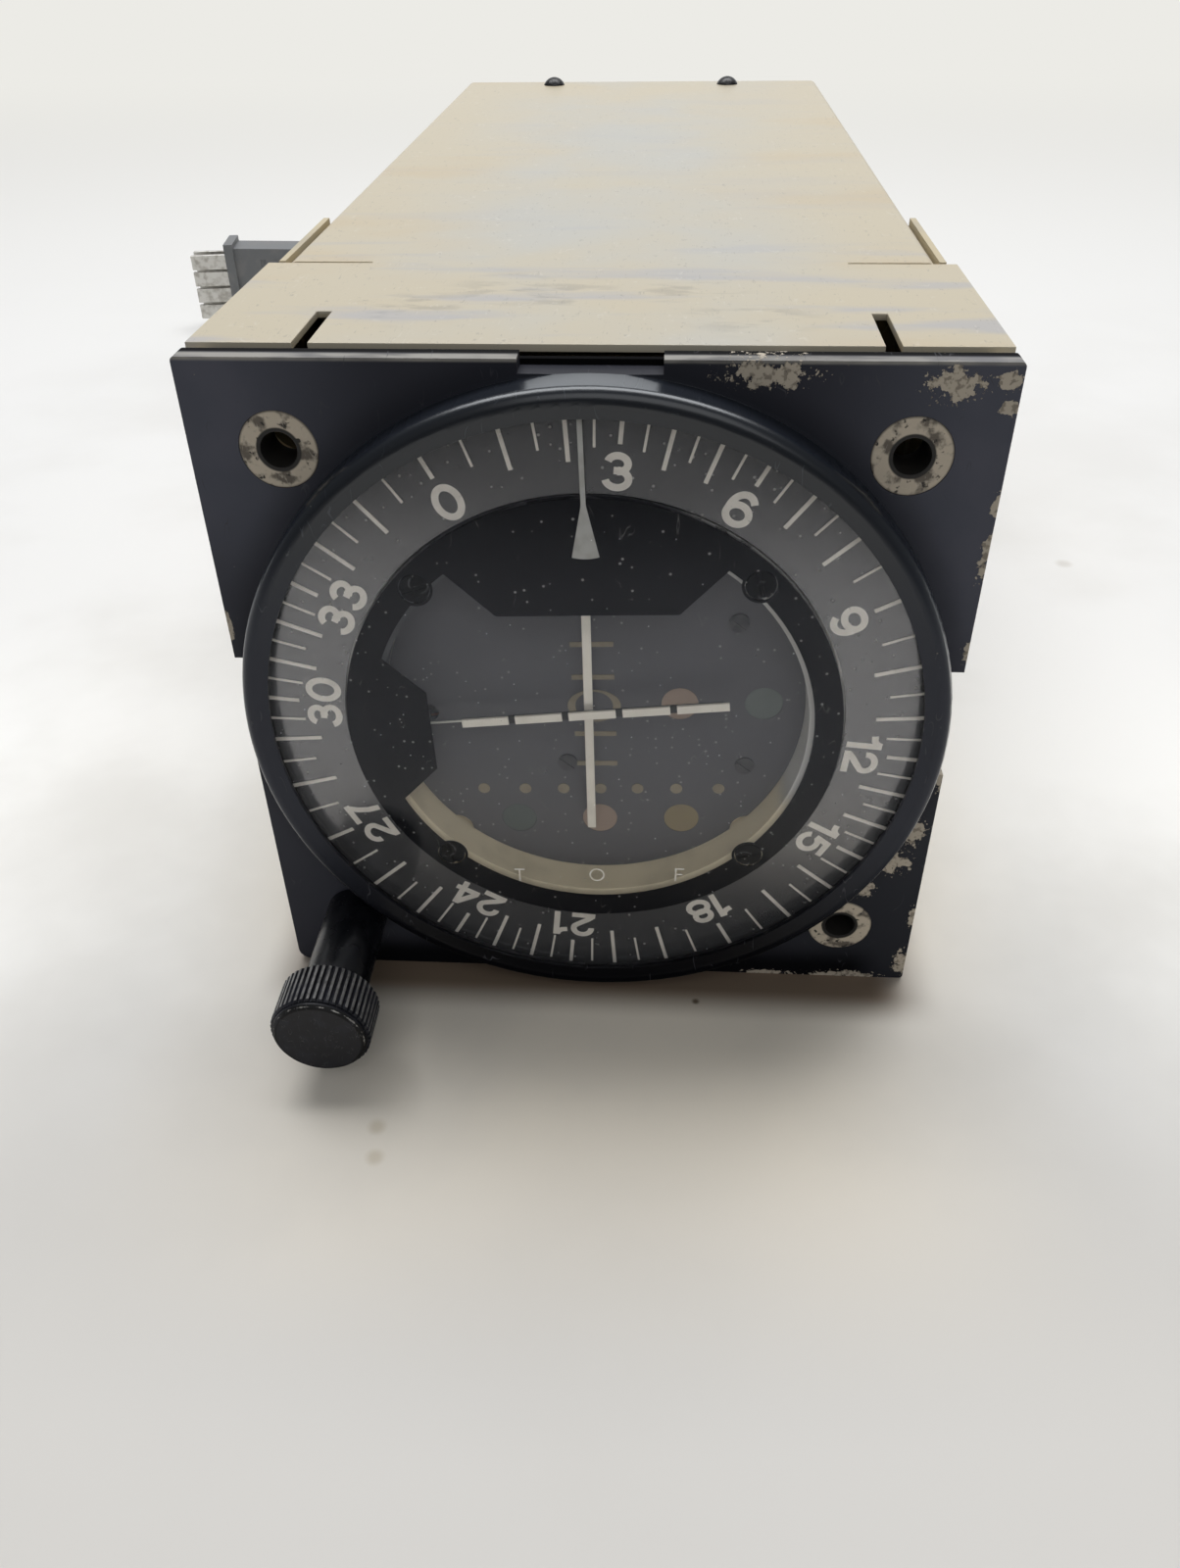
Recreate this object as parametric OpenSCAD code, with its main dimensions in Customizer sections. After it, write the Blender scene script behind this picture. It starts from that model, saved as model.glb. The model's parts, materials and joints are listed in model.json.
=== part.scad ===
// Course and glideslope indicator for a 3 1/8 inch instrument panel hole.
// Origin: centre of the flange's front face. +X right, +Y into the case, +Z up.

/* [Flange and bezel ring] */
// Radius of the ring that goes through the panel
ring_r = 39.37; // [39:0.01:39.6]
// How far the flange's straight sides stand outside the ring
flange_margin = 1.28; // [1:0.01:2]
// Thickness of the flange
flange_t = 2.8; // [2:0.1:4]
// Distance of the corner holes' centres outside the ring
hole_stand = 5.08; // [5:0.01:5.3]
// How far the ring stands in front of the flange
ring_h = 4.6; // [4:0.1:6]
// Wall of the ring
ring_wall = 1.17; // [0.9:0.01:1.3]
// How far the lip reaches in from the ring's outside
lip_w = 2.97; // [2.6:0.01:3.6]
// Thickness of the lip at its inner edge
lip_t = 0.25; // [0.2:0.05:0.4]
// Height of the ring's crown above the lip's inner edge
crown_h = 0.65; // [0.3:0.05:1]
// Radius of the ring's rounded front corner
crown_r = 1.25; // [0.8:0.05:1.4]
// Width of the notch in the middle of each flange side
notch_w = 14; // [8:0.5:20]
// Depth of the notch in each flange side
notch_d = 1.4; // [0.8:0.1:1.6]
// Radius of the worn lower left flange corner
worn_corner_r = 1.6; // [0.5:0.1:2.5]
// Radius of the other flange corners
flange_corner_r = 0.5; // [0.2:0.1:2]

/* [Mounting eyelets] */
// Radius of the clearance hole for a panel screw
eyelet_bore_r = 1.85; // [1.8:0.05:2]
// Radius of the eyelet's bare rim
eyelet_rim_r = 4.05; // [3.8:0.05:4.3]
// Thickness of the eyelet's rim
eyelet_rim_t = 0.9; // [0.6:0.1:1.2]
// Radius of the eyelet's barrel
eyelet_barrel_r = 2.8; // [2.6:0.1:3]
// Length of the eyelet behind the flange
eyelet_tail = 2.4; // [1.5:0.1:3.5]

/* [Glass, mask and card] */
// Thickness of the glass
glass_t = 1.1; // [0.9:0.05:1.2]
// Thickness of the snap ring behind the glass
snap_ring_t = 0.4; // [0.3:0.05:0.55]
// Thickness of printed marks
print_t = 0.08; // [0.05:0.01:0.1]
// Angle at which the meter is clamped in the case, seen from the front
meter_tilt = 1.7; // [0:0.1:3]
// Depth of the mask's front face behind the glass
mask_gap = 0.15; // [0.15:0.05:0.6]
// Radius of the window disc and its black mask
mask_r = 27.9; // [27:0.1:28.5]
// Width of the black border round the window
mask_border = 3.15; // [2.8:0.05:3.6]
// Thickness of the clear window disc
window_t = 0.82; // [0.7:0.02:1]
// How far the top tab reaches in past the course needle's pivot
tab_reach = 4.9; // [3:0.1:6]
// Half length of the top tab's edge
tab_half = 9.75; // [8:0.05:12]
// How far the left tab reaches in past the glideslope needle's pivot
side_tab_reach = 1.3; // [1:0.1:3]
// Half length of the left tab's edge
side_tab_half = 5.2; // [4:0.1:7]
// Depth of the card's face behind the glass
card_gap = 0.38; // [0.38:0.02:0.8]
// Thickness of the course card
card_t = 0.8; // [0.6:0.05:1]
// Gap between the card's edge and the ring's bore
card_edge_gap = 0.5; // [0.3:0.05:1]
// Clearance between the window disc and the card
card_clear = 0.3; // [0.3:0.05:0.6]
// Dial angle of the card's zero mark, clockwise from the top
card_turn = -27.85; // [-90:0.05:90]
// Step of the card's marks in degrees of course
mark_step = 5; // [5,10]

/* [Card drive] */
// Teeth of the card's ring gear
card_teeth = 144; // [144]
// Teeth of the pinion that turns the card
pinion_teeth = 24; // [24]
// Teeth of the sensor's gear
sensor_teeth = 96; // [96]
// Teeth of the pinion that turns the sensor
sensor_pinion_teeth = 16; // [16]
// Tooth thinning at the pitch circle
backlash = 0.09; // [0.06:0.01:0.15]
// Width of the gear faces
gear_face = 2; // [1.5:0.1:2.2]
// Gap between a turning face and a fixed one
run_gap = 0.3; // [0.3:0.05:0.5]
// Radial clearance of a turning fit
fit_gap = 0.05; // [0.03:0.01:0.08]
// Wall of the card gear's hub
hub_wall = 2.7; // [2.2:0.1:3.5]
// Height of the thrust washer behind the hub
thrust_t = 0.6; // [0.4:0.1:1]

/* [Course knob] */
// Radius of the ribbed knob
knob_r = 5.95; // [5.8:0.05:6.8]
// Length of the knob
knob_l = 5.8; // [5:0.1:12]
// Number of ribs round the knob
knob_ribs = 48; // [30:1:54]
// Depth of the grooves between the ribs
rib_depth = 0.3; // [0.2:0.02:0.4]
// How far the knob's front edge stands outside the cap
cap_edge = 0.1; // [0.05:0.01:0.2]
// Width of the cap's bevel
cap_bevel_w = 0.45; // [0.3:0.05:0.6]
// How far the cap stands out of the knob
cap_h = 0.75; // [0.5:0.05:1.2]
// Depth of the cap's bevel
cap_bevel = 0.4; // [0.2:0.05:0.45]
// Radius of the sleeve behind the knob
sleeve_r = 3.9; // [3.6:0.05:4.5]
// Length of the sleeve in front of the flange
sleeve_l = 15.3; // [8:0.1:18]
// Radius of the sleeve's threaded barrel
sleeve_barrel_r = 3.1; // [2.8:0.1:3.3]
// Radius of the knob's shaft
shaft_r = 1.5875; // [1.5:0.0125:1.65]

/* [Meter] */
// Wall of the meter housing
housing_wall = 3.7; // [3.4:0.1:4.2]
// Length of the meter housing behind the window disc
housing_l = 35.25; // [33:0.25:36]
// Thickness of the housing's back wall
housing_back_t = 1.6; // [1.2:0.1:2.5]
// How far the housing's mounting foot stands out of its wall
housing_foot_w = 5.6; // [5.2:0.1:6]
// Thickness of the housing's mounting foot
housing_foot_t = 1.8; // [1.4:0.1:2.4]
// Radius of the pillars under the mask screws
pillar_r = 2; // [1.8:0.05:2.2]
// Distance of the mask screws' centres from the window disc's edge
mask_screw_inset = 2.3; // [2:0.05:2.6]
// Depth of the dial face behind the window disc
face_depth = 4.45; // [4:0.05:5]
// Thickness of the dial face
face_t = 0.8; // [0.6:0.05:1]
// Radius of the lamp windows in the face
lamp_r = 2.15; // [1.8:0.05:2.4]
// Width of the needles
needle_w = 1; // [0.7:0.05:1.2]
// Thickness of the needles
needle_t = 0.3; // [0.25:0.05:0.35]
// Height of the course needle's tip below the centre
course_tip = 16.4; // [14:0.1:18]
// Distance of the glideslope needle's tip right of the centre
slope_tip = 15.5; // [13:0.1:17]
// Height of the glideslope needle's pivot below the centre
slope_drop = 0.7; // [0:0.1:1.2]
// Angle of the glideslope needle above level at rest
slope_rest = 4.1; // [0:0.1:8]
// Angle at rest between the course needle and the meter's upright, its tip to the left
course_rest = 1; // [-3:0.1:3]
// Number of white bars on the glideslope needle
slope_bars = 5; // [3:1:6]
// Radius of a needle's moving coil
coil_r = 3.2; // [2.8:0.1:3.4]
// Depth of a moving coil
coil_l = 6; // [4:0.5:7]

/* [Case] */
// Thickness of the case's sheet metal
sheet_t = 0.8; // [0.7:0.05:0.95]
// Depth of the case behind the flange's front face
case_l = 192.7; // [180:0.1:210]
// How far the covers' folded sides lie inside the flange's sides
case_inset = 2.05; // [1.9:0.05:2.4]
// Where the covers start behind the flange's front face
cover_start = 4.6; // [4.4:0.1:5]
// Where the covers' wide front flap ends
flap_end = 35.4; // [34:0.1:36]
// Width of the relief slit behind the flap
slit_w = 0.5; // [0.4:0.05:0.8]
// How far the relief slit reaches in from the side
slit_l = 10.5; // [8:0.5:14]
// Distance of the flap's slots from the middle
slot_at = 29.1; // [27:0.1:31]
// Width of the flap's slots
slot_w = 1.6; // [1.2:0.1:2]
// Length of the flap's slots
slot_l = 10.9; // [8:0.1:14]
// Height of the opening between the covers' side walls
side_gap = 9; // [8.5:0.5:12]
// Radius of the covers' folds
fold_r = 1.3; // [1:0.1:2]
// How far the frame's side ears reach past their rear screws
ear_tail = 11; // [8:0.5:14]
// Distance of the rear cover screws from the middle
rear_screw_x = 18.9; // [15:0.1:22]
// Height of the side rails
rail_h = 20; // [18:0.5:24]

/* [Converter board] */
// Free length between the sensor and the converter board
board_front_gap = 8.1; // [6:0.1:14]
// Free length between the converter board and the rear plate
board_rear_gap = 8.9; // [8.5:0.1:14]
// Width of the converter board
board_w = 66; // [60:1:68]
// Thickness of the converter board
board_t = 1.6; // [1.2:0.1:2]
// Height of the board above the bottom cover
board_lift = 8; // [7:0.5:10]
// Radius and height of the large capacitors
big_capacitor_r = 4; // [3:0.5:5]
big_capacitor_h = 14; // [10:1:20]
// Radius and height of the small capacitors
small_capacitor_r = 3; // [2:0.5:4]
small_capacitor_h = 9; // [6:1:12]
// Side and height of the transformers
transformer_w = 16; // [12:1:20]
// Radius of the transistors
transistor_r = 2.3; // [2:0.1:3]
// Height of the transistors
transistor_h = 5; // [4:0.5:7]

/* [Harness and plug] */
// Diameter of the harness
lead_d = 6.4; // [5:0.1:7]
// Length of the plug's body
plug_l = 31; // [26:0.5:40]
// Width of the plug's body
plug_w = 11; // [10:0.5:16]
// Height of the plug's end flange
plug_h = 26.6; // [25:0.1:28]
// Length of the plug's blades
blade_l = 11.4; // [8:0.1:14]
// Rows of blades in the plug
blade_rows = 4; // [3:1:5]
// Turn of the plug on the table
plug_turn = -8; // [-8]

/* [Hidden] */
$fn = 64;

half_w = ring_r + flange_margin;
flange_w = 2 * half_w;
// The fourth corner hole holds the knob, so the gears take their reach from the holes
corner_reach = ring_r + hole_stand;
hole_at = corner_reach / sqrt(2);
table_z = -half_w;

lip_front = -(ring_h - crown_h);
glass_front = lip_front + lip_t;
glass_back = glass_front + glass_t;
ring_bore_r = ring_r - ring_wall;
lip_r = ring_r - lip_w;
snap_bore_r = ring_bore_r - 1.3;
mask_front = glass_back + mask_gap;
window_front = mask_front + print_t;
window_back = window_front + window_t;
card_front = glass_back + snap_ring_t + card_gap;
card_bore_r = mask_r + card_clear;
card_r = ring_bore_r - card_edge_gap;
window_r = mask_r - mask_border;
mask_screw_at = mask_r - mask_screw_inset;
hub_r = mask_r + hub_wall;
housing_bore_r = mask_r - housing_wall;
housing_foot_r = mask_r + housing_foot_w;
meter_screw_at = (mask_r + housing_foot_r) / 2 + 0.5;

// Layers behind the flange, from the frame's front sheet to the sensor
frame_front = flange_t;
frame_back = frame_front + sheet_t;
gear_front = frame_back + run_gap + 0.3;
gear_back = gear_front + gear_face;
washer_front = gear_back + run_gap;
bulkhead_front = washer_front + thrust_t;
bulkhead_t = 1;
bulkhead_back = bulkhead_front + bulkhead_t;
housing_front = window_back;
housing_back = housing_front + housing_l;
sensor_gear_front = housing_back + 2.6;
sensor_gear_back = sensor_gear_front + gear_face;
rear_bulkhead_front = sensor_gear_back + 2.6;
rear_bulkhead_back = rear_bulkhead_front + bulkhead_t;

// At the standard ring the gears have 48 teeth to the inch of diameter
gear_module = 2 * corner_reach / (card_teeth + pinion_teeth);
gear_addendum = 0.95 * gear_module;
gear_dedendum = 1.3 * gear_module;
pressure_angle = 20;
card_pitch_r = card_teeth * gear_module / 2;
pinion_pitch_r = pinion_teeth * gear_module / 2;
sensor_pitch_r = sensor_teeth * gear_module / 2;
sensor_reach = sensor_pitch_r + sensor_pinion_teeth * gear_module / 2;
card_root_r = card_pitch_r - gear_dedendum;
knob_at = (card_pitch_r + pinion_pitch_r) / sqrt(2);
sensor_at = knob_at - sensor_reach / sqrt(2);

knob_back = -(sleeve_l + run_gap);
knob_front = knob_back - knob_l;
knob_face_r = knob_r - 0.25;
cap_base_r = knob_face_r - cap_edge;
cap_r = cap_base_r - cap_bevel_w;
set_screw_back = 2.6;
shaft_front = knob_front + 1.2;
bearing_r = 3;
bearing_back = rear_bulkhead_back + 1;
clip_front = bearing_back + run_gap;
clip_t = 0.6;
shaft_back = clip_front + clip_t + 0.9;

face_front = window_back + face_depth;
face_back = face_front + face_t;
slope_y = window_back + 1.55;
course_y = slope_y + 1;
coil_front = face_back + 1;
magnet_back = coil_front + coil_l + 1.2;
magnet_t = 0.9;
coil_gap = 0.3;
stator_r = coil_r + coil_gap;
pivot_pin_r = 0.4;
hub_disc_r = 0.7;
magnet_clear = 0.1;
// Both pivots stand as far out as their magnets allow
course_pivot = housing_bore_r - magnet_clear - stator_r - magnet_t;
course_pivot_x = -0.3;
slope_pivot = sqrt(course_pivot * course_pivot - slope_drop * slope_drop);
tab_edge = course_pivot - tab_reach;
side_tab_edge = slope_pivot - side_tab_reach;
course_l = course_pivot + course_tip;
slope_l = slope_pivot + slope_tip;
lamp_board_front = magnet_back + 1.6;
lamp_board_t = 1.6;
lamp_board_r = housing_bore_r - 0.05;
// Centres of the lamps, right and up, with the three flag lamps in a row below
flag_lamp_pitch = 10.07;
flag_lamp_z = 7.8 - housing_bore_r;
slope_lamp_pitch = 9.64;
slope_lamp_x = housing_bore_r - 4.7 - slope_lamp_pitch;
slope_lamp_z = 0.4;
lamp_shift = -0.04;

case_w = 2 * (half_w - case_inset);
ear_gap = 0.15;
ear_in = case_w / 2 + ear_gap;
ear_out = ear_in + sheet_t;
case_in = case_w / 2 - sheet_t;
cover_in = half_w - sheet_t;
rail_t = 1;
rail_in = case_in - rail_t;
plate_back = case_l - sheet_t;
plate_front = plate_back - 1;
plate_clear = 0.1;
screw_y = plate_front - 2.8;
// The rear frame screws hold ear, spacer, rail and rear bulkhead together
rear_frame_screw_y = rear_bulkhead_back + 6.1;
front_frame_screw_y = bulkhead_back + 3.9;
frame_screw_rise = 25;
spacer_half = 6;
ear_end = rear_frame_screw_y + ear_tail;
sensor_r = 19;
sensor_l = 20;
sensor_thread_r = 4.7;
sensor_shaft_r = 3.175;

board_z = -cover_in + board_lift;
board_top = board_z + board_t;
board_start = rear_bulkhead_back + sensor_l + board_front_gap;
board_end = plate_front - board_rear_gap;
// Five rows of parts on the board, evenly spaced between its ends
board_row_inset = 12;
board_row_pitch = (board_end - board_start - 2 * board_row_inset) / 4;
board_part_pitch = 12;
post_inset_x = 4;
post_inset_y = 6;

grommet_x = -20;
grommet_z = -30;
grommet_r = lead_d / 2 + 1.6;
grommet_lip = 1.2;
grommet_back = plate_back + 3.2;

// The plug lies on the table. Its blades point left and away.
plug_dir = [-cos(plug_turn), sin(plug_turn)];
plug_end = [-103.3, 293];
plug_flange_t = 2.8;
plug_flange_h = 1.3;
plug_taper = 1.2;
clamp_l = 9;
// The harness reaches the plug at the height of the standard plug's middle
plug_mid_z = table_z + 13.3;
lead_lie_z = table_z + lead_d / 2 + 0.05;
// Centre line of the harness from the grommet to the plug's clamp
lead_route = [[-20, grommet_back, grommet_z], [-20, 200, -30.1], [-20, 206, -30.6],
    [-20, 217, -32.7], [-20, 228, -35.3], [-20.1, 238.5, -37], [-21.9, 250.8, lead_lie_z],
    [-26.1, 262, lead_lie_z], [-32.7, 272.6, lead_lie_z], [-41.4, 281.7, -37.1],
    [-51.8, 288.7, -35.8], [-63.5, 293.4, -33.3], [-75.8, 295.6, -30.2], [-82.1, 295.6, -28.8],
    [-88.4, 295.1, -27.9],
    [plug_end[0] - plug_dir[0] * clamp_l, plug_end[1] - plug_dir[1] * clamp_l, plug_mid_z]];

// Places a flat outline drawn as right and up so that it fills y0 to y0 + depth
module along_y(y0, depth) {
    translate([0, y0 + depth, 0]) rotate([90, 0, 0]) linear_extrude(depth) children();
}

// Turns a profile drawn as radius and depth about the Y axis
module about_y() {
    rotate([-90, 0, 0]) rotate_extrude($fn = 128) children();
}

module rod(y0, depth, r) {
    translate([0, y0, 0]) rotate([-90, 0, 0]) cylinder(h = depth, r = r);
}

module tube(y0, depth, r_out, r_in) {
    difference() {
        rod(y0, depth, r_out);
        rod(y0 - 1, depth + 2, r_in);
    }
}

module block(x0, x1, y0, y1, z0, z1) {
    translate([x0, y0, z0]) cube([x1 - x0, y1 - y0, z1 - z0]);
}

// Everything that is clamped with the meter leans with it
module meter_pose() {
    rotate([0, -meter_tilt, 0]) children();
}

module at_mounting_holes() {
    for (s = [[-1, 1], [1, 1], [1, -1]]) {
        translate([s[0] * hole_at, 0, s[1] * hole_at]) children();
    }
}

module at_knob() {
    translate([-knob_at, 0, -knob_at]) children();
}

module at_sensor() {
    translate([-sensor_at, 0, -sensor_at]) children();
}

// Four mask screws, on the diagonals
module at_mask_screws() {
    for (a = [45, 135, 225, 315]) {
        rotate([0, a, 0]) translate([0, 0, mask_screw_at]) children();
    }
}

// Involute spur gear outline with a tooth centred on the first axis
function involute_angle(a) = tan(a) * 180 / PI - a;
function flank_angle(n, r) =
    let (pitch_r = n * gear_module / 2, base_r = pitch_r * cos(pressure_angle))
    90 / n - backlash / pitch_r * 90 / PI + involute_angle(pressure_angle)
    - involute_angle(acos(min(1, base_r / max(r, base_r))));
function polar(r, a) = [r * cos(a), r * sin(a)];

module spur_outline(n, steps) {
    root_r = n * gear_module / 2 - gear_dedendum;
    tip_r = n * gear_module / 2 + gear_addendum;
    base_r = n * gear_module / 2 * cos(pressure_angle);
    low_r = max(root_r, base_r);
    up = concat([root_r], [for (k = [0:steps]) low_r + (tip_r - low_r) * k / steps]);
    last = len(up) - 1;
    polygon([for (i = [0:n - 1], side = [-1, 1], k = [0:last])
        let (r = up[side < 0 ? k : last - k])
        polar(r, i * 360 / n + side * flank_angle(n, r))]);
}

module screw_slot(r, w, y0, depth, turn) {
    rotate([0, turn, 0]) block(-r, r, y0, y0 + depth, -w / 2, w / 2);
}

// Pan head screw that points along +Y, its head in front of y0
module pan_screw(y0, head_r, head_h, shank_r, shank_l, turn) {
    difference() {
        union() {
            rod(y0 - head_h, head_h, head_r);
            rod(y0, shank_l, shank_r);
        }
        screw_slot(head_r + 1, head_r * 0.3, y0 - head_h - 1, 1 + head_h * 0.5, turn);
    }
}

module bezel() {
    color([0.13, 0.14, 0.17])
    difference() {
        union() {
            along_y(0, flange_t) flange_outline();
            bezel_ring();
        }
        rod(glass_front, flange_t - glass_front + 1, ring_bore_r);
        rod(-ring_h - 1, ring_h + 2, lip_r);
        for (a = [0:90:270]) {
            rotate([0, a, 0]) {
                block(-notch_w / 2, notch_w / 2, 0, flange_t + 1, half_w - notch_d, half_w + 1);
            }
        }
        at_mounting_holes() {
            rod(-1, flange_t + 2, eyelet_barrel_r);
            rod(-1, 1 + eyelet_rim_t, eyelet_rim_r);
        }
        at_knob() rod(-1, flange_t + 2, sleeve_barrel_r);
    }
}

module flange_outline() {
    difference() {
        square(flange_w, center = true);
        for (q = [[1, 1], [1, -1], [-1, 1]]) corner_cut(q, flange_corner_r);
        corner_cut([-1, -1], worn_corner_r);
    }
}

module corner_cut(q, r) {
    translate([q[0] * half_w, q[1] * half_w]) difference() {
        square(2 * r, center = true);
        translate([-q[0] * r, -q[1] * r]) circle(r);
    }
}

module bezel_ring() {
    about_y() {
        polygon([[lip_r - 1, lip_front], [ring_r - crown_r, -ring_h], [ring_r - crown_r, crown_r - ring_h],
            [ring_r, crown_r - ring_h], [ring_r, flange_t], [lip_r - 1, flange_t]]);
        translate([ring_r - crown_r, crown_r - ring_h]) circle(crown_r);
    }
}

module mounting_eyelets() {
    color([0.62, 0.56, 0.48])
    at_mounting_holes() difference() {
        union() {
            rod(0, eyelet_rim_t, eyelet_rim_r - 0.02);
            rod(0, flange_t + eyelet_tail, eyelet_barrel_r - 0.02);
        }
        rod(-1, flange_t + eyelet_tail + 2, eyelet_bore_r);
    }
}

module glass_lens() {
    color([0.8, 0.85, 0.87, 0.3])
    rod(glass_front, glass_t, ring_bore_r - 0.15);
}

module lens_snap_ring() {
    color([0.1, 0.1, 0.12])
    difference() {
        tube(glass_back, snap_ring_t, ring_bore_r - 0.03, snap_bore_r);
        block(-1.5, 1.5, glass_back - 1, glass_back + snap_ring_t + 1, -ring_r, 0);
    }
}

// Thin line over the card that flares into a pointer above the window
module index_mark() {
    line_w = 0.52;
    flare_w = 3.25;
    flare_top = mask_r - 0.7;
    flare_bottom = flare_top - 5.6;
    color([0.66, 0.66, 0.62])
    meter_pose() translate([0.15, 0, 0]) along_y(glass_back, print_t) intersection() {
        circle(snap_bore_r - 0.05);
        difference() {
            union() {
                translate([-line_w / 2, flare_top]) square([line_w, 12]);
                polygon([[-line_w / 2, flare_top], [-flare_w / 2, flare_bottom - 1],
                    [flare_w / 2, flare_bottom - 1], [line_w / 2, flare_top]]);
            }
            translate([0, flare_bottom - 5]) difference() {
                square([10, 12], center = true);
                translate([0, 9.8]) circle(5);
            }
        }
    }
}

module window_outline() {
    difference() {
        circle(window_r);
        // Top tab over the course needle's pivot
        polygon([[-tab_half, tab_edge], [tab_half, tab_edge], [tab_half + window_r, tab_edge + window_r],
            [-tab_half - window_r, tab_edge + window_r]]);
        // Left tab over the glideslope needle's pivot
        polygon([[-side_tab_edge, -side_tab_half], [-side_tab_edge, side_tab_half],
            [-side_tab_edge - window_r, side_tab_half + window_r],
            [-side_tab_edge - window_r, -side_tab_half - window_r]]);
        for (a = [45, 135, 225, 315]) {
            translate(polar(mask_screw_at, a)) circle(screw_pad_r);
        }
    }
}
screw_pad_r = 2;

module window_disc() {
    color([0.75, 0.78, 0.78, 0.25])
    meter_pose() difference() {
        rod(window_front, window_t, mask_r);
        at_mask_screws() {
            rod(window_front - 1, window_t + 2, 0.95);
            rod(window_front - 1, 1 + mask_head_sink, mask_head_r + 0.1);
        }
    }
}
mask_head_r = 1.6;
// Depth of the screws' seats in the window disc
mask_head_sink = 0.45;

module window_mask() {
    color([0.1, 0.105, 0.12])
    meter_pose() difference() {
        along_y(mask_front, print_t) difference() {
            circle(mask_r);
            window_outline();
        }
        at_mask_screws() rod(mask_front - 1, 3, mask_head_r + 0.1);
    }
}

module mask_screws() {
    head_h = 0.5;
    body_l = 6;
    slot_turn = 30;
    color([0.08, 0.08, 0.09])
    meter_pose() at_mask_screws() {
        pan_screw(window_front + mask_head_sink, mask_head_r, head_h, 0.9, body_l, slot_turn);
    }
}

// Dial angle of a course. Each quarter follows two straight resistance tracks.
function course_to_dial(c) =
    let (q = floor(c / 90), t = tan(c - 90 * q))
    90 * q + 90 * t / (1 + t);

module course_card() {
    color([0.37, 0.375, 0.385])
    tube(card_front, card_t, card_r, card_bore_r);
}

// Marks: numbered courses are short and thick, tens are long, fives are thin.
// The tens take a share of the card's band, so they always end clear of its bore
module card_marks() {
    numbered_reach = 4.275;
    five_reach = 4.75;
    ten_reach = 0.65 * (card_r - card_bore_r);
    color([0.72, 0.7, 0.66])
    for (c = [0:mark_step:355]) {
        numbered = c % 30 == 0;
        ten = c % 10 == 0;
        w = ten ? 0.45 : 0.27;
        inner_r = card_r - (numbered ? numbered_reach : ten ? ten_reach : five_reach);
        outer_r = card_r - (ten ? 0.4 : 0.8);
        rotate([0, course_to_dial(c) + card_turn, 0]) {
            block(-w / 2, w / 2, card_front - print_t, card_front, inner_r, outer_r);
        }
    }
}

module card_gear() {
    window_hole_r = (card_root_r - hub_r) / 2 - 1.3;
    color([0.72, 0.72, 0.7])
    difference() {
        union() {
            rod(card_front + card_t, gear_back - card_front - card_t, hub_r);
            along_y(gear_front, gear_face) spur_outline(card_teeth, 2);
        }
        rod(card_front - 1, gear_back - card_front + 3, mask_r + fit_gap);
        // Lightening windows between hub and rim
        for (a = [0:45:315]) {
            rotate([0, a, 0]) translate([0, 0, (hub_r + card_root_r) / 2]) {
                rod(gear_front - 1, gear_face + 2, window_hole_r);
            }
        }
    }
}

module thrust_washer() {
    color([0.78, 0.66, 0.42])
    tube(washer_front, thrust_t, hub_r, mask_r + 0.1);
}

module meter_housing() {
    color([0.55, 0.52, 0.44])
    meter_pose() difference() {
        union() {
            difference() {
                union() {
                    rod(housing_front, housing_l, mask_r);
                    rod(bulkhead_back, housing_foot_t, housing_foot_r);
                }
                rod(housing_front - 1, housing_l + 1 - housing_back_t, housing_bore_r);
            }
            intersection() {
                rod(housing_front, face_depth, mask_r - 0.5);
                at_mask_screws() rod(housing_front, face_depth, pillar_r);
            }
            // Ledge that carries the face
            tube(face_back, 0.5, mask_r - 1, housing_bore_r - 1);
        }
        at_mask_screws() rod(housing_front - 1, 1 + face_depth + face_t + 1.5, 0.9);
        at_meter_screws() rod(bulkhead_back - 1, housing_foot_t + 2, 1.3);
        // Opening for the meter's wires
        translate([12, 0, -10]) rod(housing_back - 3, 5, 3);
    }
}

module at_meter_screws() {
    for (a = [60, 180, 300]) {
        rotate([0, a, 0]) translate([0, 0, meter_screw_at]) children();
    }
}

// The screws enter from the rear, so their heads face +Y
module meter_screws() {
    color([0.7, 0.7, 0.68])
    meter_pose() at_meter_screws() mirror([0, 1, 0]) {
        pan_screw(-(bulkhead_back + housing_foot_t), 2, 1.2, 1.25, housing_foot_t + bulkhead_t, 0);
    }
}

module lamp_spots(kind) {
    amber = [[0, flag_lamp_z], [flag_lamp_pitch, flag_lamp_z], [slope_lamp_x, slope_lamp_z]];
    green = [[-flag_lamp_pitch, flag_lamp_z], [slope_lamp_x + slope_lamp_pitch, slope_lamp_z]];
    for (p = kind == "amber" ? amber : kind == "green" ? green : concat(amber, green)) {
        translate([p[0] + lamp_shift, 0, p[1]]) children();
    }
}

module meter_face() {
    color([0.26, 0.27, 0.28])
    meter_pose() difference() {
        rod(face_front, face_t, housing_bore_r - 0.05);
        lamp_spots("all") rod(face_front - 1, face_t + 2, lamp_r);
        translate([course_pivot_x, 0, course_pivot]) rod(face_front - 1, face_t + 2, 1.2);
        translate([-slope_pivot, 0, -slope_drop]) rod(face_front - 1, face_t + 2, 1.2);
        at_face_screws() rod(face_front - 1, face_t + 2, 0.85);
        at_mask_screws() rod(face_front - 1, face_t + 2, pillar_r + 0.1);
    }
}

module at_face_screws() {
    for (p = [[16.3, 11], [-3.6, -7.8], [17.5, -8.3]]) {
        translate([p[0], 0, p[1]]) children();
    }
}

module face_screws() {
    body_l = 2.4;
    slot_turn = 40;
    color([0.3, 0.3, 0.3])
    meter_pose() at_face_screws() pan_screw(face_front, 1.15, 0.25, 0.8, body_l, slot_turn);
}

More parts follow.
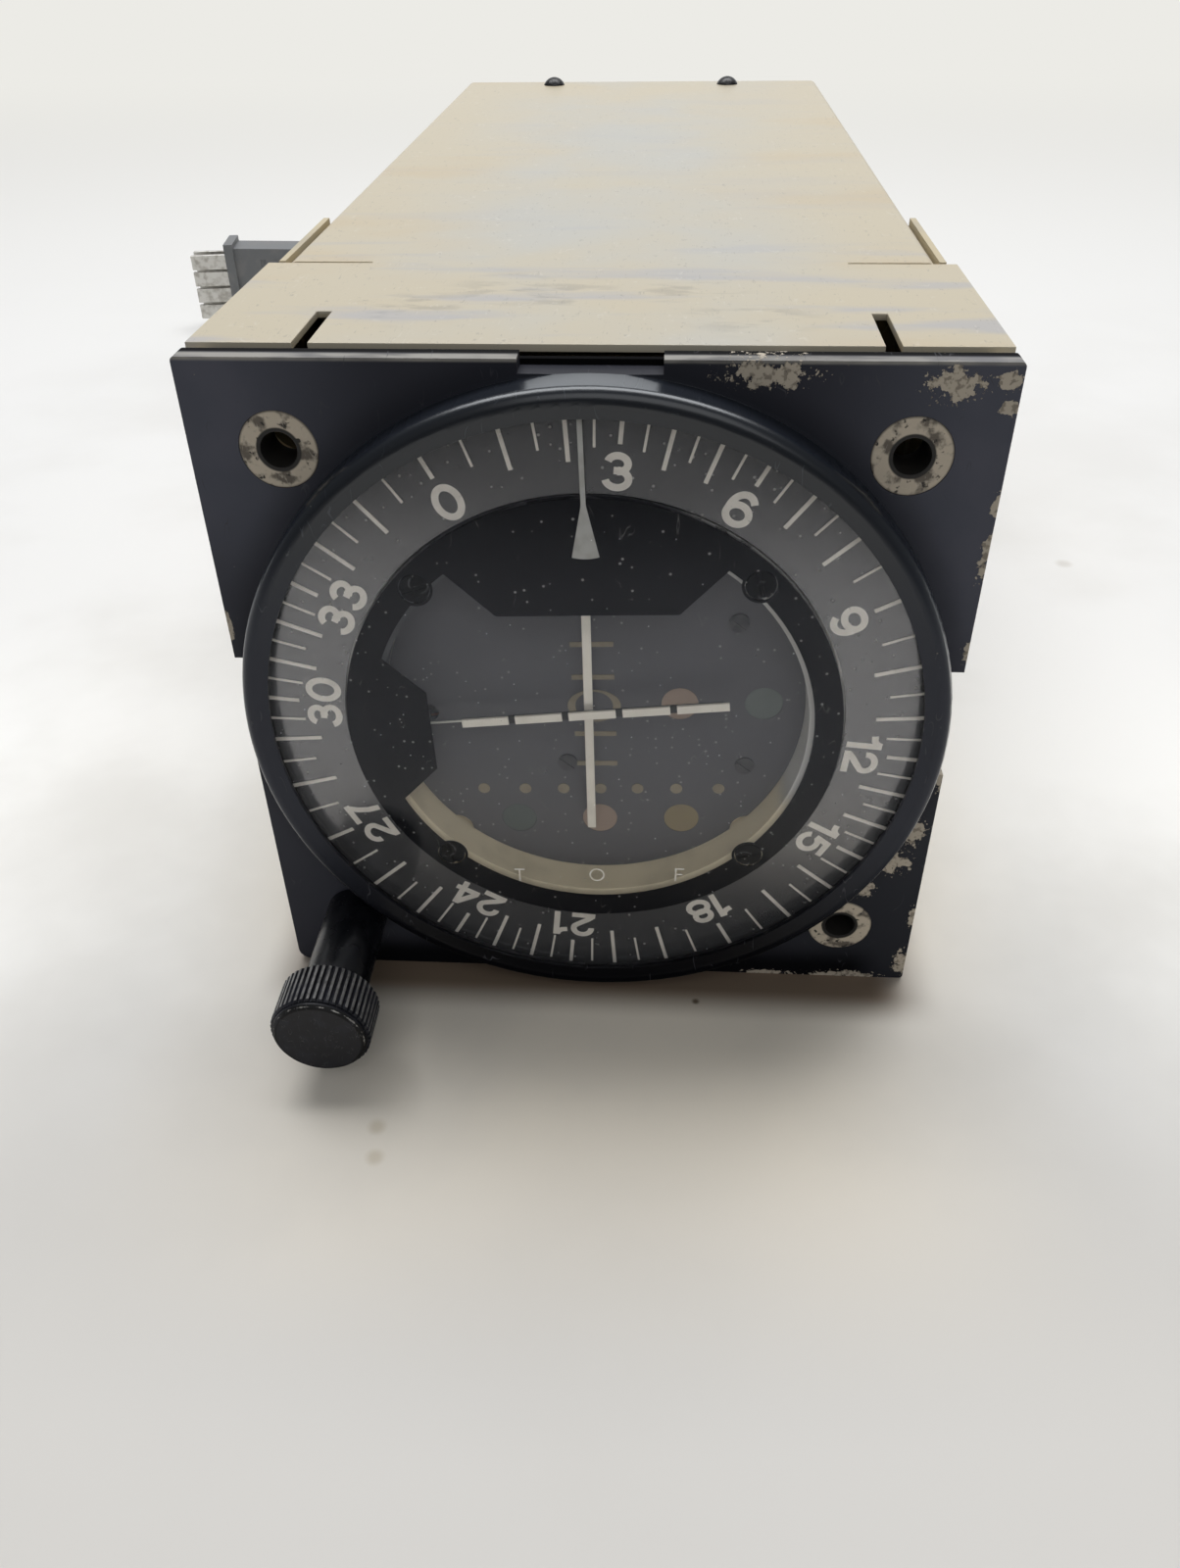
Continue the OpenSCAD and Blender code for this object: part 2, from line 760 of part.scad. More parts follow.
// Centre ring, four dashes and seven dots at equal steps of the course needle
module face_marks() {
    dash_w = 4.9;
    dash_h = 0.62;
    dot_r = 0.72;
    dot_step = 8.15;
    dot_row = 11.8;
    color([0.52, 0.49, 0.45])
    meter_pose() along_y(face_front - print_t, print_t) {
        translate([-0.1, 0]) {
            for (z = [8.4, 4.1, -3.7, -8]) {
                translate([0, z]) square([dash_w, dash_h], center = true);
            }
            difference() {
                polygon([for (a = [0:10:350]) [3.1 * cos(a), 0.2 + 2.2 * sin(a)]]);
                polygon([for (a = [0:10:350]) [2.2 * cos(a), 0.2 + 1.95 * sin(a)]]);
            }
            for (i = [-3:3]) {
                dot_x = 0.3 + (course_pivot + dot_row) * tan(i * dot_step);
                translate([dot_x, -dot_row]) circle(dot_r, $fn = 24);
            }
        }
    }
}

module amber_lenses() {
    color([0.47, 0.42, 0.36])
    meter_pose() lamp_spots("amber") rod(face_front + 0.02, face_t, lamp_r - 0.03);
}

module green_lenses() {
    color([0.27, 0.3, 0.3])
    meter_pose() lamp_spots("green") rod(face_front + 0.02, face_t, lamp_r - 0.03);
}

module lamp_bulbs() {
    color([0.85, 0.83, 0.78])
    meter_pose() lamp_spots("all") {
        rod(face_back + 1.6, lamp_board_front - face_back - 1.6, 1.2);
        translate([0, face_back + 1.6, 0]) sphere(1.2);
    }
}

module lamp_board() {
    color([0.24, 0.36, 0.2])
    meter_pose() difference() {
        rod(lamp_board_front, lamp_board_t, lamp_board_r);
        translate([course_pivot_x, 0, course_pivot]) rod(lamp_board_front - 1, lamp_board_t + 2, 1.5);
        translate([-slope_pivot, 0, -slope_drop]) rod(lamp_board_front - 1, lamp_board_t + 2, 1.5);
    }
}

// Moving coil on a pin that reaches through the face to the needle
module moving_coil(pin_front) {
    difference() {
        union() {
            tube(coil_front, coil_l, coil_r, coil_r - 0.9);
            block(-coil_r + 0.5, coil_r - 0.5, coil_front, coil_front + 0.8, -0.6, 0.6);
            rod(pin_front, coil_front - pin_front + 0.8, pivot_pin_r);
        }
    }
}

// Magnet ring round a coil, its iron core and the bridge that joins them
module meter_magnet() {
    core_r = coil_r - 0.9 - coil_gap;
    tube(coil_front - 0.4, magnet_back - coil_front + 0.4, stator_r + magnet_t, stator_r);
    rod(coil_front + 0.8 + coil_gap, magnet_back - coil_front - 0.8 - coil_gap, core_r);
    rod(magnet_back - 0.6, 0.6 + lamp_board_front - magnet_back, stator_r + magnet_t);
}

module course_pose() {
    meter_pose() translate([course_pivot_x, 0, course_pivot]) rotate([0, course_rest, 0]) children();
}

module course_needle() {
    tail = 2.2;
    color([0.84, 0.81, 0.76])
    course_pose() difference() {
        union() {
            block(-needle_w / 2, needle_w / 2, course_y, course_y + needle_t, -course_l, 0);
            rod(course_y, needle_t, hub_disc_r);
            block(-0.4, 0.4, course_y, course_y + needle_t, 0, tail);
        }
        rod(course_y - 1, needle_t + 2, pivot_pin_r + 0.02);
    }
}

module course_coil() {
    color([0.72, 0.42, 0.25])
    course_pose() moving_coil(course_y - 0.2);
}

module course_magnet() {
    color([0.45, 0.46, 0.48])
    meter_pose() translate([course_pivot_x, 0, course_pivot]) meter_magnet();
}

module slope_pose() {
    meter_pose() translate([-slope_pivot, 0, -slope_drop]) rotate([0, -slope_rest, 0]) children();
}

// Where the first white bar starts, from the pivot
bars_from = 4.45;

// Black arm: a thin wire up to the white bars, a strip behind them
module slope_arm() {
    wire_w = 0.55;
    arm_t = 0.2;
    arm_y = slope_y + needle_t;
    color([0.12, 0.12, 0.13])
    slope_pose() difference() {
        union() {
            block(0, bars_from, arm_y, arm_y + arm_t, -wire_w / 2, wire_w / 2);
            block(bars_from, slope_l - 0.6, arm_y, arm_y + arm_t, -needle_w / 2, needle_w / 2);
            rod(arm_y, arm_t, hub_disc_r);
        }
        rod(slope_y - 1, needle_t + arm_t + 2, pivot_pin_r + 0.02);
    }
}

// The bar at the tip is a little longer than the others
module slope_needle_bars() {
    gap = 0.78;
    tip_extra = 0.5;
    pitch = (slope_l - bars_from - tip_extra + gap) / slope_bars;
    color([0.84, 0.81, 0.76])
    slope_pose() for (i = [0:slope_bars - 1]) {
        x0 = bars_from + i * pitch;
        x1 = x0 + pitch - gap + (i == slope_bars - 1 ? tip_extra : 0);
        block(x0, x1, slope_y, slope_y + needle_t, -needle_w / 2, needle_w / 2);
    }
}

module slope_coil() {
    color([0.72, 0.42, 0.25])
    slope_pose() moving_coil(slope_y + needle_t);
}

module slope_magnet() {
    color([0.45, 0.46, 0.48])
    meter_pose() translate([-slope_pivot, 0, -slope_drop]) meter_magnet();
}

// Straight ribs: a flat-topped rib and a groove for each pitch
module rib_outline(outer_r, depth, count) {
    step = 360 / count;
    polygon([for (i = [0:count - 1], p = [[-0.3, 1], [0.1, 1], [0.3, 0], [0.5, 0]])
        polar(outer_r - depth * (1 - p[1]), (i + p[0]) * step)]);
}

module course_knob() {
    front_chamfer = 0.25;
    color([0.2, 0.2, 0.22])
    at_knob() difference() {
        intersection() {
            along_y(knob_front, knob_l) rib_outline(knob_r, rib_depth, knob_ribs);
            rotate([-90, 0, 0]) translate([0, 0, knob_front]) rotate_extrude() {
                polygon([[0, 0], [knob_face_r, 0], [knob_r + 0.01, front_chamfer],
                    [knob_r + 0.01, knob_l - 0.3], [knob_r - 0.4, knob_l], [0, knob_l]]);
            }
        }
        rod(shaft_front, knob_l + 1, shaft_r);
        rod(knob_front - 1, 1.6, cap_r - 0.5);
        translate([0, knob_back - set_screw_back, -knob_r - 1]) cylinder(h = knob_r + 1, r = 1);
    }
}

module knob_cap() {
    color([0.16, 0.16, 0.18])
    at_knob() {
        rod(knob_front - cap_h + cap_bevel, cap_h - cap_bevel, cap_base_r);
        rod(knob_front, 0.6, cap_r - 0.52);
        translate([0, knob_front - cap_h, 0]) rotate([-90, 0, 0]) {
            cylinder(h = cap_bevel, r1 = cap_r, r2 = cap_base_r);
        }
    }
}

module knob_set_screw() {
    color([0.5, 0.5, 0.5])
    at_knob() translate([0, knob_back - set_screw_back, -shaft_r - 3.2]) cylinder(h = 3.2, r = 0.98);
}

module knob_shaft() {
    color([0.7, 0.7, 0.72])
    at_knob() difference() {
        rod(shaft_front, shaft_back - shaft_front, shaft_r);
        // Groove for the clip
        tube(clip_front, clip_t, shaft_r + 1, shaft_r - 0.35);
    }
}

module knob_sleeve() {
    color([0.06, 0.06, 0.08])
    at_knob() difference() {
        union() {
            rod(-sleeve_l, sleeve_l, sleeve_r);
            rod(0, frame_back, sleeve_barrel_r - 0.02);
        }
        rod(-sleeve_l - 1, sleeve_l + frame_back + 2, shaft_r + fit_gap);
    }
}

module card_pinion() {
    color([0.78, 0.66, 0.4])
    at_knob() rotate([0, 180 / pinion_teeth, 0]) difference() {
        union() {
            along_y(gear_front, gear_face) spur_outline(pinion_teeth, 3);
            rod(gear_back, bulkhead_front - gear_back - run_gap, 3);
        }
        rod(gear_front - 1, gear_face + 6, shaft_r);
    }
}

module sensor_pinion() {
    color([0.78, 0.66, 0.4])
    at_knob() rotate([0, 180 / sensor_pinion_teeth, 0]) difference() {
        union() {
            along_y(sensor_gear_front, gear_face) spur_outline(sensor_pinion_teeth, 3);
            rod(sensor_gear_front - 3, 3, 3);
        }
        rod(sensor_gear_front - 4, gear_face + 6, shaft_r);
    }
}

module rear_bearing() {
    bearing_front = rear_bulkhead_front - 1;
    color([0.78, 0.66, 0.42])
    at_knob() tube(bearing_front, bearing_back - bearing_front, bearing_r, shaft_r + fit_gap);
}

module shaft_clip() {
    color([0.5, 0.5, 0.52])
    at_knob() difference() {
        tube(clip_front, clip_t, shaft_r + 1.6, shaft_r - 0.33);
        block(-shaft_r + 0.35, shaft_r - 0.35, clip_front - 1, clip_front + 2, 0, 6);
    }
}

module sensor_body() {
    tag_front = rear_bulkhead_back + 12;
    color([0.25, 0.26, 0.28])
    at_sensor() difference() {
        union() {
            rod(rear_bulkhead_back, sensor_l, sensor_r);
            rod(rear_bulkhead_front - 1.4, 3, sensor_thread_r);
            // Solder tags round the wafer
            for (a = [0:40:320]) {
                rotate([0, a, 0]) {
                    block(-1, 1, tag_front, tag_front + 0.8, sensor_r - 1, sensor_r + 3.4);
                }
            }
        }
        rod(rear_bulkhead_front - 3, sensor_l, sensor_shaft_r + fit_gap);
    }
}

module sensor_nut() {
    color([0.7, 0.7, 0.68])
    at_sensor() translate([0, rear_bulkhead_front - 1.3, 0]) rotate([-90, 0, 0]) difference() {
        cylinder(h = 1.3, r = 7, $fn = 6);
        translate([0, 0, -1]) cylinder(h = 4, r = sensor_thread_r + 0.02);
    }
}

module sensor_shaft() {
    color([0.72, 0.72, 0.74])
    at_sensor() rod(sensor_gear_front - 0.8, rear_bulkhead_back + 14 - sensor_gear_front, sensor_shaft_r);
}

module sensor_gear() {
    color([0.72, 0.72, 0.7])
    at_sensor() difference() {
        along_y(sensor_gear_front, gear_face) spur_outline(sensor_teeth, 2);
        rod(sensor_gear_front - 1, gear_face + 2, sensor_shaft_r);
        for (a = [0:60:300]) {
            rotate([0, a, 0]) translate([0, 0, (sensor_pitch_r + sensor_shaft_r) / 2 + 0.2]) {
                rod(sensor_gear_front - 1, gear_face + 2, sensor_pitch_r / 5);
            }
        }
    }
}

// Sheet behind the flange with two ears folded back along the case
module front_frame() {
    ear_low = half_w - sheet_t - 0.02;
    color([0.66, 0.6, 0.46])
    difference() {
        union() {
            block(-ear_out, ear_out, frame_front, frame_back, -ear_low, ear_low);
            for (s = [-1, 1]) {
                scale([s, 1, 1]) {
                    block(ear_in, ear_out, frame_front, flap_end + slit_w + 0.2, -ear_low, ear_low);
                    block(ear_in, ear_out, flap_end + slit_w + 0.2, ear_end, -half_w, half_w);
                    // Tabs under the covers' front edge
                    for (t = [-1, 1]) scale([1, 1, t]) {
                        block(ear_in - 7.95, ear_in - 3.75, frame_back, 12, ear_low - sheet_t, ear_low);
                    }
                }
            }
        }
        rod(frame_front - 1, 3, ring_bore_r + 0.2);
        at_mounting_holes() rod(frame_front - 1, 3, eyelet_barrel_r);
        at_knob() rod(frame_front - 1, 3, sleeve_barrel_r);
        at_frame_screws() rod(0, 12, 1.3);
    }
}

// Side screws, each child drawn along +Y and turned to point inward from an ear
module at_frame_screws() {
    for (s = [-1, 1], p = [[front_frame_screw_y, frame_screw_rise],
            [front_frame_screw_y, -frame_screw_rise], [rear_frame_screw_y, 0]]) {
        translate([s * (ear_out + 5), p[0], p[1]]) rotate([0, 0, s * 90]) children();
    }
}

module gear_bulkhead() {
    tall = cover_in - 1.25;
    tab_half_w = 5;
    color([0.66, 0.6, 0.46])
    difference() {
        union() {
            block(-ear_in, ear_in, bulkhead_front, bulkhead_back, -tall, tall);
            for (s = [-1, 1], z = [-frame_screw_rise, frame_screw_rise]) {
                scale([s, 1, 1]) {
                    block(ear_in - sheet_t, ear_in, bulkhead_back, front_frame_screw_y + tab_half_w,
                        z - tab_half_w, z + tab_half_w);
                }
            }
        }
        rod(bulkhead_front - 1, 4, mask_r + 0.1);
        at_knob() rod(bulkhead_front - 1, 4, shaft_r + fit_gap);
        meter_pose() at_meter_screws() rod(bulkhead_front - 1, 4, 1.25);
        at_frame_screws() rod(0, 12, 1.1);
        at_mounting_holes() rod(bulkhead_front - 1, 4, eyelet_barrel_r + 0.4);
        // Wire openings in the upper corners
        for (s = [-1, 1]) translate([s * (hole_at - 2.4), 0, hole_at - 9.4]) rod(bulkhead_front - 1, 4, 3.5);
    }
}

module rear_bulkhead() {
    wide = rail_in - 0.02;
    tall = cover_in - 2.85;
    tab_half_w = 7;
    wire_hole_x = 22;
    wire_hole_z = 20;
    wire_hole_r = 6;
    color([0.66, 0.6, 0.46])
    difference() {
        union() {
            block(-wide, wide, rear_bulkhead_front, rear_bulkhead_back, -tall, tall);
            for (s = [-1, 1]) scale([s, 1, 1]) {
                block(wide - sheet_t, wide, rear_bulkhead_back, rear_frame_screw_y + spacer_half,
                    -tab_half_w, tab_half_w);
            }
        }
        at_sensor() rod(rear_bulkhead_front - 1, 4, sensor_thread_r);
        at_knob() rod(rear_bulkhead_front - 1, 4, bearing_r);
        at_frame_screws() rod(0, 16, 1.1);
        translate([wire_hole_x, 0, wire_hole_z]) rod(rear_bulkhead_front - 1, 4, wire_hole_r);
    }
}

module side_rails() {
    color([0.68, 0.64, 0.55])
    difference() {
        for (s = [-1, 1]) scale([s, 1, 1]) {
            block(rail_in, case_in - 0.02, bulkhead_back + 9.5, plate_front, -rail_h / 2, rail_h / 2);
            // Spacer that meets the ear between the covers' side walls
            block(case_in - 0.5, ear_in, rear_frame_screw_y - spacer_half, rear_frame_screw_y + spacer_half,
                -side_gap / 2 + 0.3, side_gap / 2 - 0.3);
        }
        at_frame_screws() rod(0, 16, 1.1);
    }
}

module frame_screws() {
    color([0.2, 0.2, 0.2])
    at_frame_screws() pan_screw(5, 2.1, 1, 1.08, 3, 0);
}

// Sheet cover: a wide flat flap in front, then a channel with folded sides
module cover() {
    in_r = fold_r - sheet_t;
    difference() {
        union() {
            block(-half_w, half_w, cover_start, flap_end, half_w - sheet_t, half_w);
            block(slit_l - case_w / 2, case_w / 2 - slit_l, flap_end - 0.01, flap_end + slit_w + 0.01,
                half_w - sheet_t, half_w);
            along_y(flap_end + slit_w, case_l - flap_end - slit_w) difference() {
                fold_outline(case_w / 2, half_w, fold_r);
                fold_outline(case_w / 2 - sheet_t, half_w - sheet_t, in_r);
            }
        }
        for (s = [-1, 1]) {
            translate([s * slot_at - slot_w / 2, cover_start - 1, half_w - sheet_t - 1]) {
                cube([slot_w, slot_l + 1, 4]);
            }
            translate([s * rear_screw_x, screw_y, half_w - 3]) cylinder(h = 5, r = 1.6);
        }
    }
}

// Outline of a folded channel above the side opening
module fold_outline(w, h, r) {
    low = side_gap / 2;
    translate([-w, low]) square([2 * w, h - low - r]);
    translate([-w + r, low]) square([2 * w - 2 * r, h - low]);
    for (s = [-1, 1]) translate([s * (w - r), h - r]) circle(r);
}

module top_cover() {
    color([0.78, 0.73, 0.62])
    cover();
}

module bottom_cover() {
    color([0.78, 0.73, 0.62])
    mirror([0, 0, 1]) cover();
}

// Rear closing plate with a flange folded forward under each cover
module rear_plate() {
    lip_half = 30;
    lip_l = 7;
    wide = case_in - plate_clear;
    tall = cover_in - 0.02;
    corner_r = 0.8;
    color([0.74, 0.69, 0.58])
    difference() {
        union() {
            along_y(plate_front, plate_back - plate_front) {
                square([2 * wide - 2 * corner_r, 2 * tall], center = true);
                square([2 * wide, 2 * tall - 2 * corner_r], center = true);
                for (s = [-1, 1], t = [-1, 1]) {
                    translate([s * (wide - corner_r), t * (tall - corner_r)]) circle(corner_r);
                }
            }
            for (t = [-1, 1]) scale([1, 1, t]) {
                block(-lip_half, lip_half, plate_front - lip_l, plate_front, tall - sheet_t, tall);
            }
        }
        translate([grommet_x, 0, grommet_z]) rod(plate_front - 1, 4, grommet_r);
        for (s = [-1, 1]) {
            translate([s * rear_screw_x, screw_y, -half_w]) cylinder(h = flange_w, r = 1.3);
        }
    }
}

// Dark dome screws through the covers near the rear
module cover_screws() {
    head_r = 2.3;
    head_h = 1.5;
    color([0.1, 0.1, 0.1])
    for (s = [-1, 1]) {
        translate([s * rear_screw_x, screw_y, half_w]) dome_screw(head_r, head_h);
        // Below, the heads are flat and lie flush
        translate([s * rear_screw_x, screw_y, -half_w]) {
            cylinder(h = 3.6, r = 1.28);
            cylinder(h = sheet_t - 0.05, r = 1.58);
        }
    }
}

module dome_screw(head_r, head_h) {
    ball_r = (head_r * head_r + head_h * head_h) / (2 * head_h);
    intersection() {
        translate([0, 0, head_h - ball_r]) sphere(ball_r);
        cylinder(h = head_h, r = head_r);
    }
    translate([0, 0, -3.6]) cylinder(h = 3.6, r = 1.28);
}

module at_board_posts() {
    for (s = [-1, 1], y = [board_start + post_inset_y, board_end - post_inset_y]) {
        translate([s * (board_w / 2 - post_inset_x), y, 0]) children();
    }
}

module converter_board() {
    color([0.5, 0.42, 0.2])
    difference() {
        block(-board_w / 2, board_w / 2, board_start, board_end, board_z, board_top);
        at_board_posts() translate([0, 0, board_z - 1]) cylinder(h = 4, r = 1.55);
    }
}

module board_posts() {
    color([0.72, 0.72, 0.7])
    at_board_posts() {
        translate([0, 0, -cover_in]) cylinder(h = board_lift, r = 2.6);
        translate([0, 0, board_z]) cylinder(h = board_t, r = 1.5);
        translate([0, 0, board_top]) cylinder(h = 1.2, r = 2.4);
    }
}

// Puts copies in one row of the board, from its first to its last column
module at_board_row(row, columns) {
    for (i = columns) {
        translate([i * board_part_pitch, board_start + board_row_inset + row * board_row_pitch, board_top]) {
            children();
        }
    }
}

module board_capacitors() {
    color([0.2, 0.3, 0.5]) {
        at_board_row(4, [-1.5:1:1.5]) cylinder(h = big_capacitor_h, r = big_capacitor_r);
        at_board_row(1, [-1.5:1:1.5]) cylinder(h = small_capacitor_h, r = small_capacitor_r);
    }
}

module board_transformers() {
    color([0.6, 0.6, 0.62])
    at_board_row(2, [-1, 1]) translate([-transformer_w / 2, -transformer_w / 2, 0]) {
        cube([transformer_w, transformer_w, transformer_w - 2]);
    }
}

module board_transistors() {
    color([0.55, 0.55, 0.57])
    for (row = [0, 3]) {
        at_board_row(row, [-2:2]) {
            cylinder(h = transistor_h, r = transistor_r);
            cylinder(h = 0.6, r = transistor_r + 0.6);
        }
    }
}

module harness_grommet() {
    color([0.08, 0.08, 0.08])
    translate([grommet_x, 0, grommet_z]) difference() {
        union() {
            rod(plate_front - grommet_lip, grommet_back - plate_front + grommet_lip, grommet_r - 0.02);
            rod(plate_back, 1.2, grommet_r + 1.4);
            rod(plate_front - grommet_lip, grommet_lip, grommet_r + 1.4);
        }
        rod(plate_front - 6, 8, lead_d / 2);
    }
}

// Sweeps a round section along a list of points
function unit(v) = v / norm(v);
function route_dir(p, i) = unit(p[min(i + 1, len(p) - 1)] - p[max(i - 1, 0)]);
module swept_tube(p, r, sides) {
    count = len(p);
    rings = [for (i = [0:count - 1])
        let (d = i == 0 ? [0, 1, 0] : i == count - 1 ? [plug_dir[0], plug_dir[1], 0] : route_dir(p, i),
            right = unit(cross(d, [0, 0, 1])), up = cross(right, d))
        for (k = [0:sides - 1]) p[i] + r * (right * cos(k * 360 / sides) + up * sin(k * 360 / sides))];
    walls = [for (i = [0:count - 2], k = [0:sides - 1])
        let (a = i * sides + k, b = i * sides + (k + 1) % sides)
        for (f = [[a, b, a + sides], [b, b + sides, a + sides]]) f];
    first_cap = [for (k = [1:sides - 2]) [0, k + 1, k]];
    last = (count - 1) * sides;
    last_cap = [for (k = [1:sides - 2]) [last, last + k, last + k + 1]];
    polyhedron(points = rings, faces = concat(walls, first_cap, last_cap));
}

module harness_lead() {
    color([0.12, 0.12, 0.13])
    swept_tube(lead_route, lead_d / 2, 10);
}

// Plug frame: +Y along the blades, base on the table
module at_plug() {
    translate([plug_end[0], plug_end[1], table_z]) rotate([0, 0, 90 - plug_turn]) children();
}

module plug_body() {
    low = plug_flange_h;
    high = plug_h - plug_flange_h;
    color([0.12, 0.12, 0.13])
    at_plug() difference() {
        union() {
            translate([-plug_w / 2, 0, 0]) rotate([90, 0, 90]) linear_extrude(plug_w) {
                polygon([[0, low + plug_taper], [plug_l, low], [plug_l, high], [0, high - plug_taper]]);
            }
            block(-plug_w / 2 - 1.2, plug_w / 2 + 1.2, plug_l - plug_flange_t, plug_l, 0, plug_h);
        }
        // Finger grooves on both sides
        for (s = [-1, 1], i = [0:3]) {
            translate([s * (plug_w / 2 + 0.5), 6 + 4.5 * i, 5]) cylinder(h = plug_h - 10, r = 1);
        }
    }
}

module plug_blades() {
    pitch = (plug_h - 6.6) / blade_rows;
    color([0.62, 0.62, 0.6])
    at_plug() for (s = [-1, 1], i = [0:blade_rows - 1]) {
        z0 = 3.3 + pitch * (i + 0.07);
        block(s * plug_w / 4 - 0.8, s * plug_w / 4 + 0.8, plug_l, plug_l + blade_l, z0, z0 + pitch * 0.86);
    }
}

// Two-part clamp that grips the harness behind the plug
module plug_clamp() {
    mid = plug_mid_z - table_z;
    clamp_w = 9.6;
    color([0.15, 0.15, 0.16])
    at_plug() difference() {
        union() {
            block(-clamp_w / 2, clamp_w / 2, -clamp_l, 0, mid - 6.5, mid + 6.5);
            for (s = [-1, 1]) translate([s * 3.2, -clamp_l / 2, mid + 2]) cylinder(h = 5.6, r = 1.3);
        }
        block(-plug_w, plug_w, -clamp_l - 1, -2, mid - 0.3, mid + 0.3);
    }
}

bezel();
mounting_eyelets();
glass_lens();
lens_snap_ring();
index_mark();
window_disc();
window_mask();
mask_screws();
course_card();
card_marks();
card_gear();
thrust_washer();
meter_housing();
meter_screws();
meter_face();
face_screws();
face_marks();
amber_lenses();
green_lenses();
lamp_bulbs();
lamp_board();
course_needle();
course_coil();
course_magnet();
slope_arm();
slope_needle_bars();
slope_coil();
slope_magnet();
course_knob();
knob_cap();
knob_set_screw();
knob_shaft();
knob_sleeve();
card_pinion();
sensor_pinion();
rear_bearing();
shaft_clip();
sensor_body();
sensor_nut();
sensor_shaft();
sensor_gear();
front_frame();
gear_bulkhead();
rear_bulkhead();
side_rails();
frame_screws();
top_cover();
bottom_cover();
rear_plate();
cover_screws();
converter_board();
board_capacitors();
board_transformers();
board_transistors();
board_posts();
harness_grommet();
harness_lead();
plug_body();
plug_blades();
plug_clamp();
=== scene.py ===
import json
import math

import bpy
from bpy.props import FloatProperty, FloatVectorProperty, PointerProperty
from mathutils import Matrix, Vector


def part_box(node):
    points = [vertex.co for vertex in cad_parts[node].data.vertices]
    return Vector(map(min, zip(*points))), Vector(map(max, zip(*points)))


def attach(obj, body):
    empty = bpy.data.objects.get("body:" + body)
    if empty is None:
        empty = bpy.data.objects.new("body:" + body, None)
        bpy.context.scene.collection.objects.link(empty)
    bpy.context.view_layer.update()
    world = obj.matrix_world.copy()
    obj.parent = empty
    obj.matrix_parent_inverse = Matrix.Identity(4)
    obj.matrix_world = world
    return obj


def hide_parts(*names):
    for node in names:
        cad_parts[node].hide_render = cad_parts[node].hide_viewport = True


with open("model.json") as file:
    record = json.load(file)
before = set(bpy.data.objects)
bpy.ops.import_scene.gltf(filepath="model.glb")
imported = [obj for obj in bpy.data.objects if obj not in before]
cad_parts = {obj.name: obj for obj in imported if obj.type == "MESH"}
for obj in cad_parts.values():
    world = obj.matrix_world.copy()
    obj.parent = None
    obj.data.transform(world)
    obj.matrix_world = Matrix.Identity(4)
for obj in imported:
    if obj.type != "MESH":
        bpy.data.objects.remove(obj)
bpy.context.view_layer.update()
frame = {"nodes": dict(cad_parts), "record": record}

bl_info = {
    "name": "Navigation Indicator",
    "version": (1, 0, 0),
    "blender": (4, 5, 0),
    "location": "View3D > Sidebar > Indicator",
    "description": "Dresses the packed navigation indicator and sets its stage",
    "category": "Object",
}

MM = 0.001
TABLE_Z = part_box("bottom_cover")[0][2]
CARD_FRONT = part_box("course_card")[0][1]
MASK_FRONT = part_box("window_mask")[0][1]
SLOPE_COIL_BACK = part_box("slope_coil")[1][1]
SLOPE_PIVOT = next(
    joint["pos_m"] for joint in frame["record"]["behaviour"]["joints"]
    if joint["name"] == "slope_pointer_swing"
)
SLOPE_REST = math.radians(5.8)
KNOB_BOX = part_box("course_knob")
KNOB_X = (KNOB_BOX[0][0] + KNOB_BOX[1][0]) / 2
KNOB_Z = (KNOB_BOX[0][2] + KNOB_BOX[1][2]) / 2
BODY_OF = {
    node: body
    for body, nodes in frame["record"]["behaviour"]["bodies"].items()
    for node in nodes
}
SLOT_OF = {p["node"]: p["material_slot"] for p in frame["record"]["subparts"]}

# Places that the finishes follow, in millimetres
CASE_HALF = 40.65  # half the flange's side and half the case's height
RING_FRONT = -4.6  # the ring's front edge
RING_LINE = -3.82  # the light line on the ring's side, partly wear and partly a painted highlight
KNOB_FRONT = -21.95
KNOB_RADIUS = 5.97
CAP_RADIUS = 4.95
MASK_SCREW_OUT = 18.1  # a mask screw's centre, sideways and upwards from the axis
MOUNT_OUT = 31.43  # a mounting hole's centre, sideways and upwards from the axis
COIL_LENGTH = 5.1
BARS_FROM = 4.45  # the first white bar, from the glideslope needle's pivot

# The photograph's camera: its focal length and the picture's longer side in pixels, the
# sensor's longer side and the camera's place in millimetres, and its turns in radians
FOCAL_PIXELS = 1227.045
LONG_SIDE_PIXELS = 1600
SENSOR = 36
CAMERA_PLACE = (7.1873, -114.5936, 76.9918)
CAMERA_YAW, CAMERA_PITCH, CAMERA_ROLL = 0.0678, 0.646, -0.015

# The stage: the table's side and the middle of its length in metres, then each lamp's
# place, what it points at, its width and height, and its power in watts
TABLE_SIDE = 12
TABLE_MIDDLE = 3
LAMPS = {
    "ceiling": ((-0.03, 0.38, 0.95), (0.0, 0.05, 0.0), (1.2, 0.5), 11.2),
    "window": ((0.15, -0.85, 0.8), (0.0, 0.0, 0.0), (1.0, 0.8), 3.0),
    "backdrop": ((0.0, 3.0, 0.9), (0.0, 0.0, 0.1), (5.0, 1.6), 26.0),
}
LAMP_LIGHT = (0.985, 0.99, 1.0)
ROOM_LIGHT = (0.95, 0.98, 1.0, 1)
ROOM_STRENGTH = 0.16

# Vertices of a CAD mesh closer than this are one, and faces this near to flat are joined
MERGE_DISTANCE = 2e-6
FLAT_ANGLE = math.radians(0.4)
PRINT_GAP = 0.01 * MM  # between a printed face and its numerals or letters

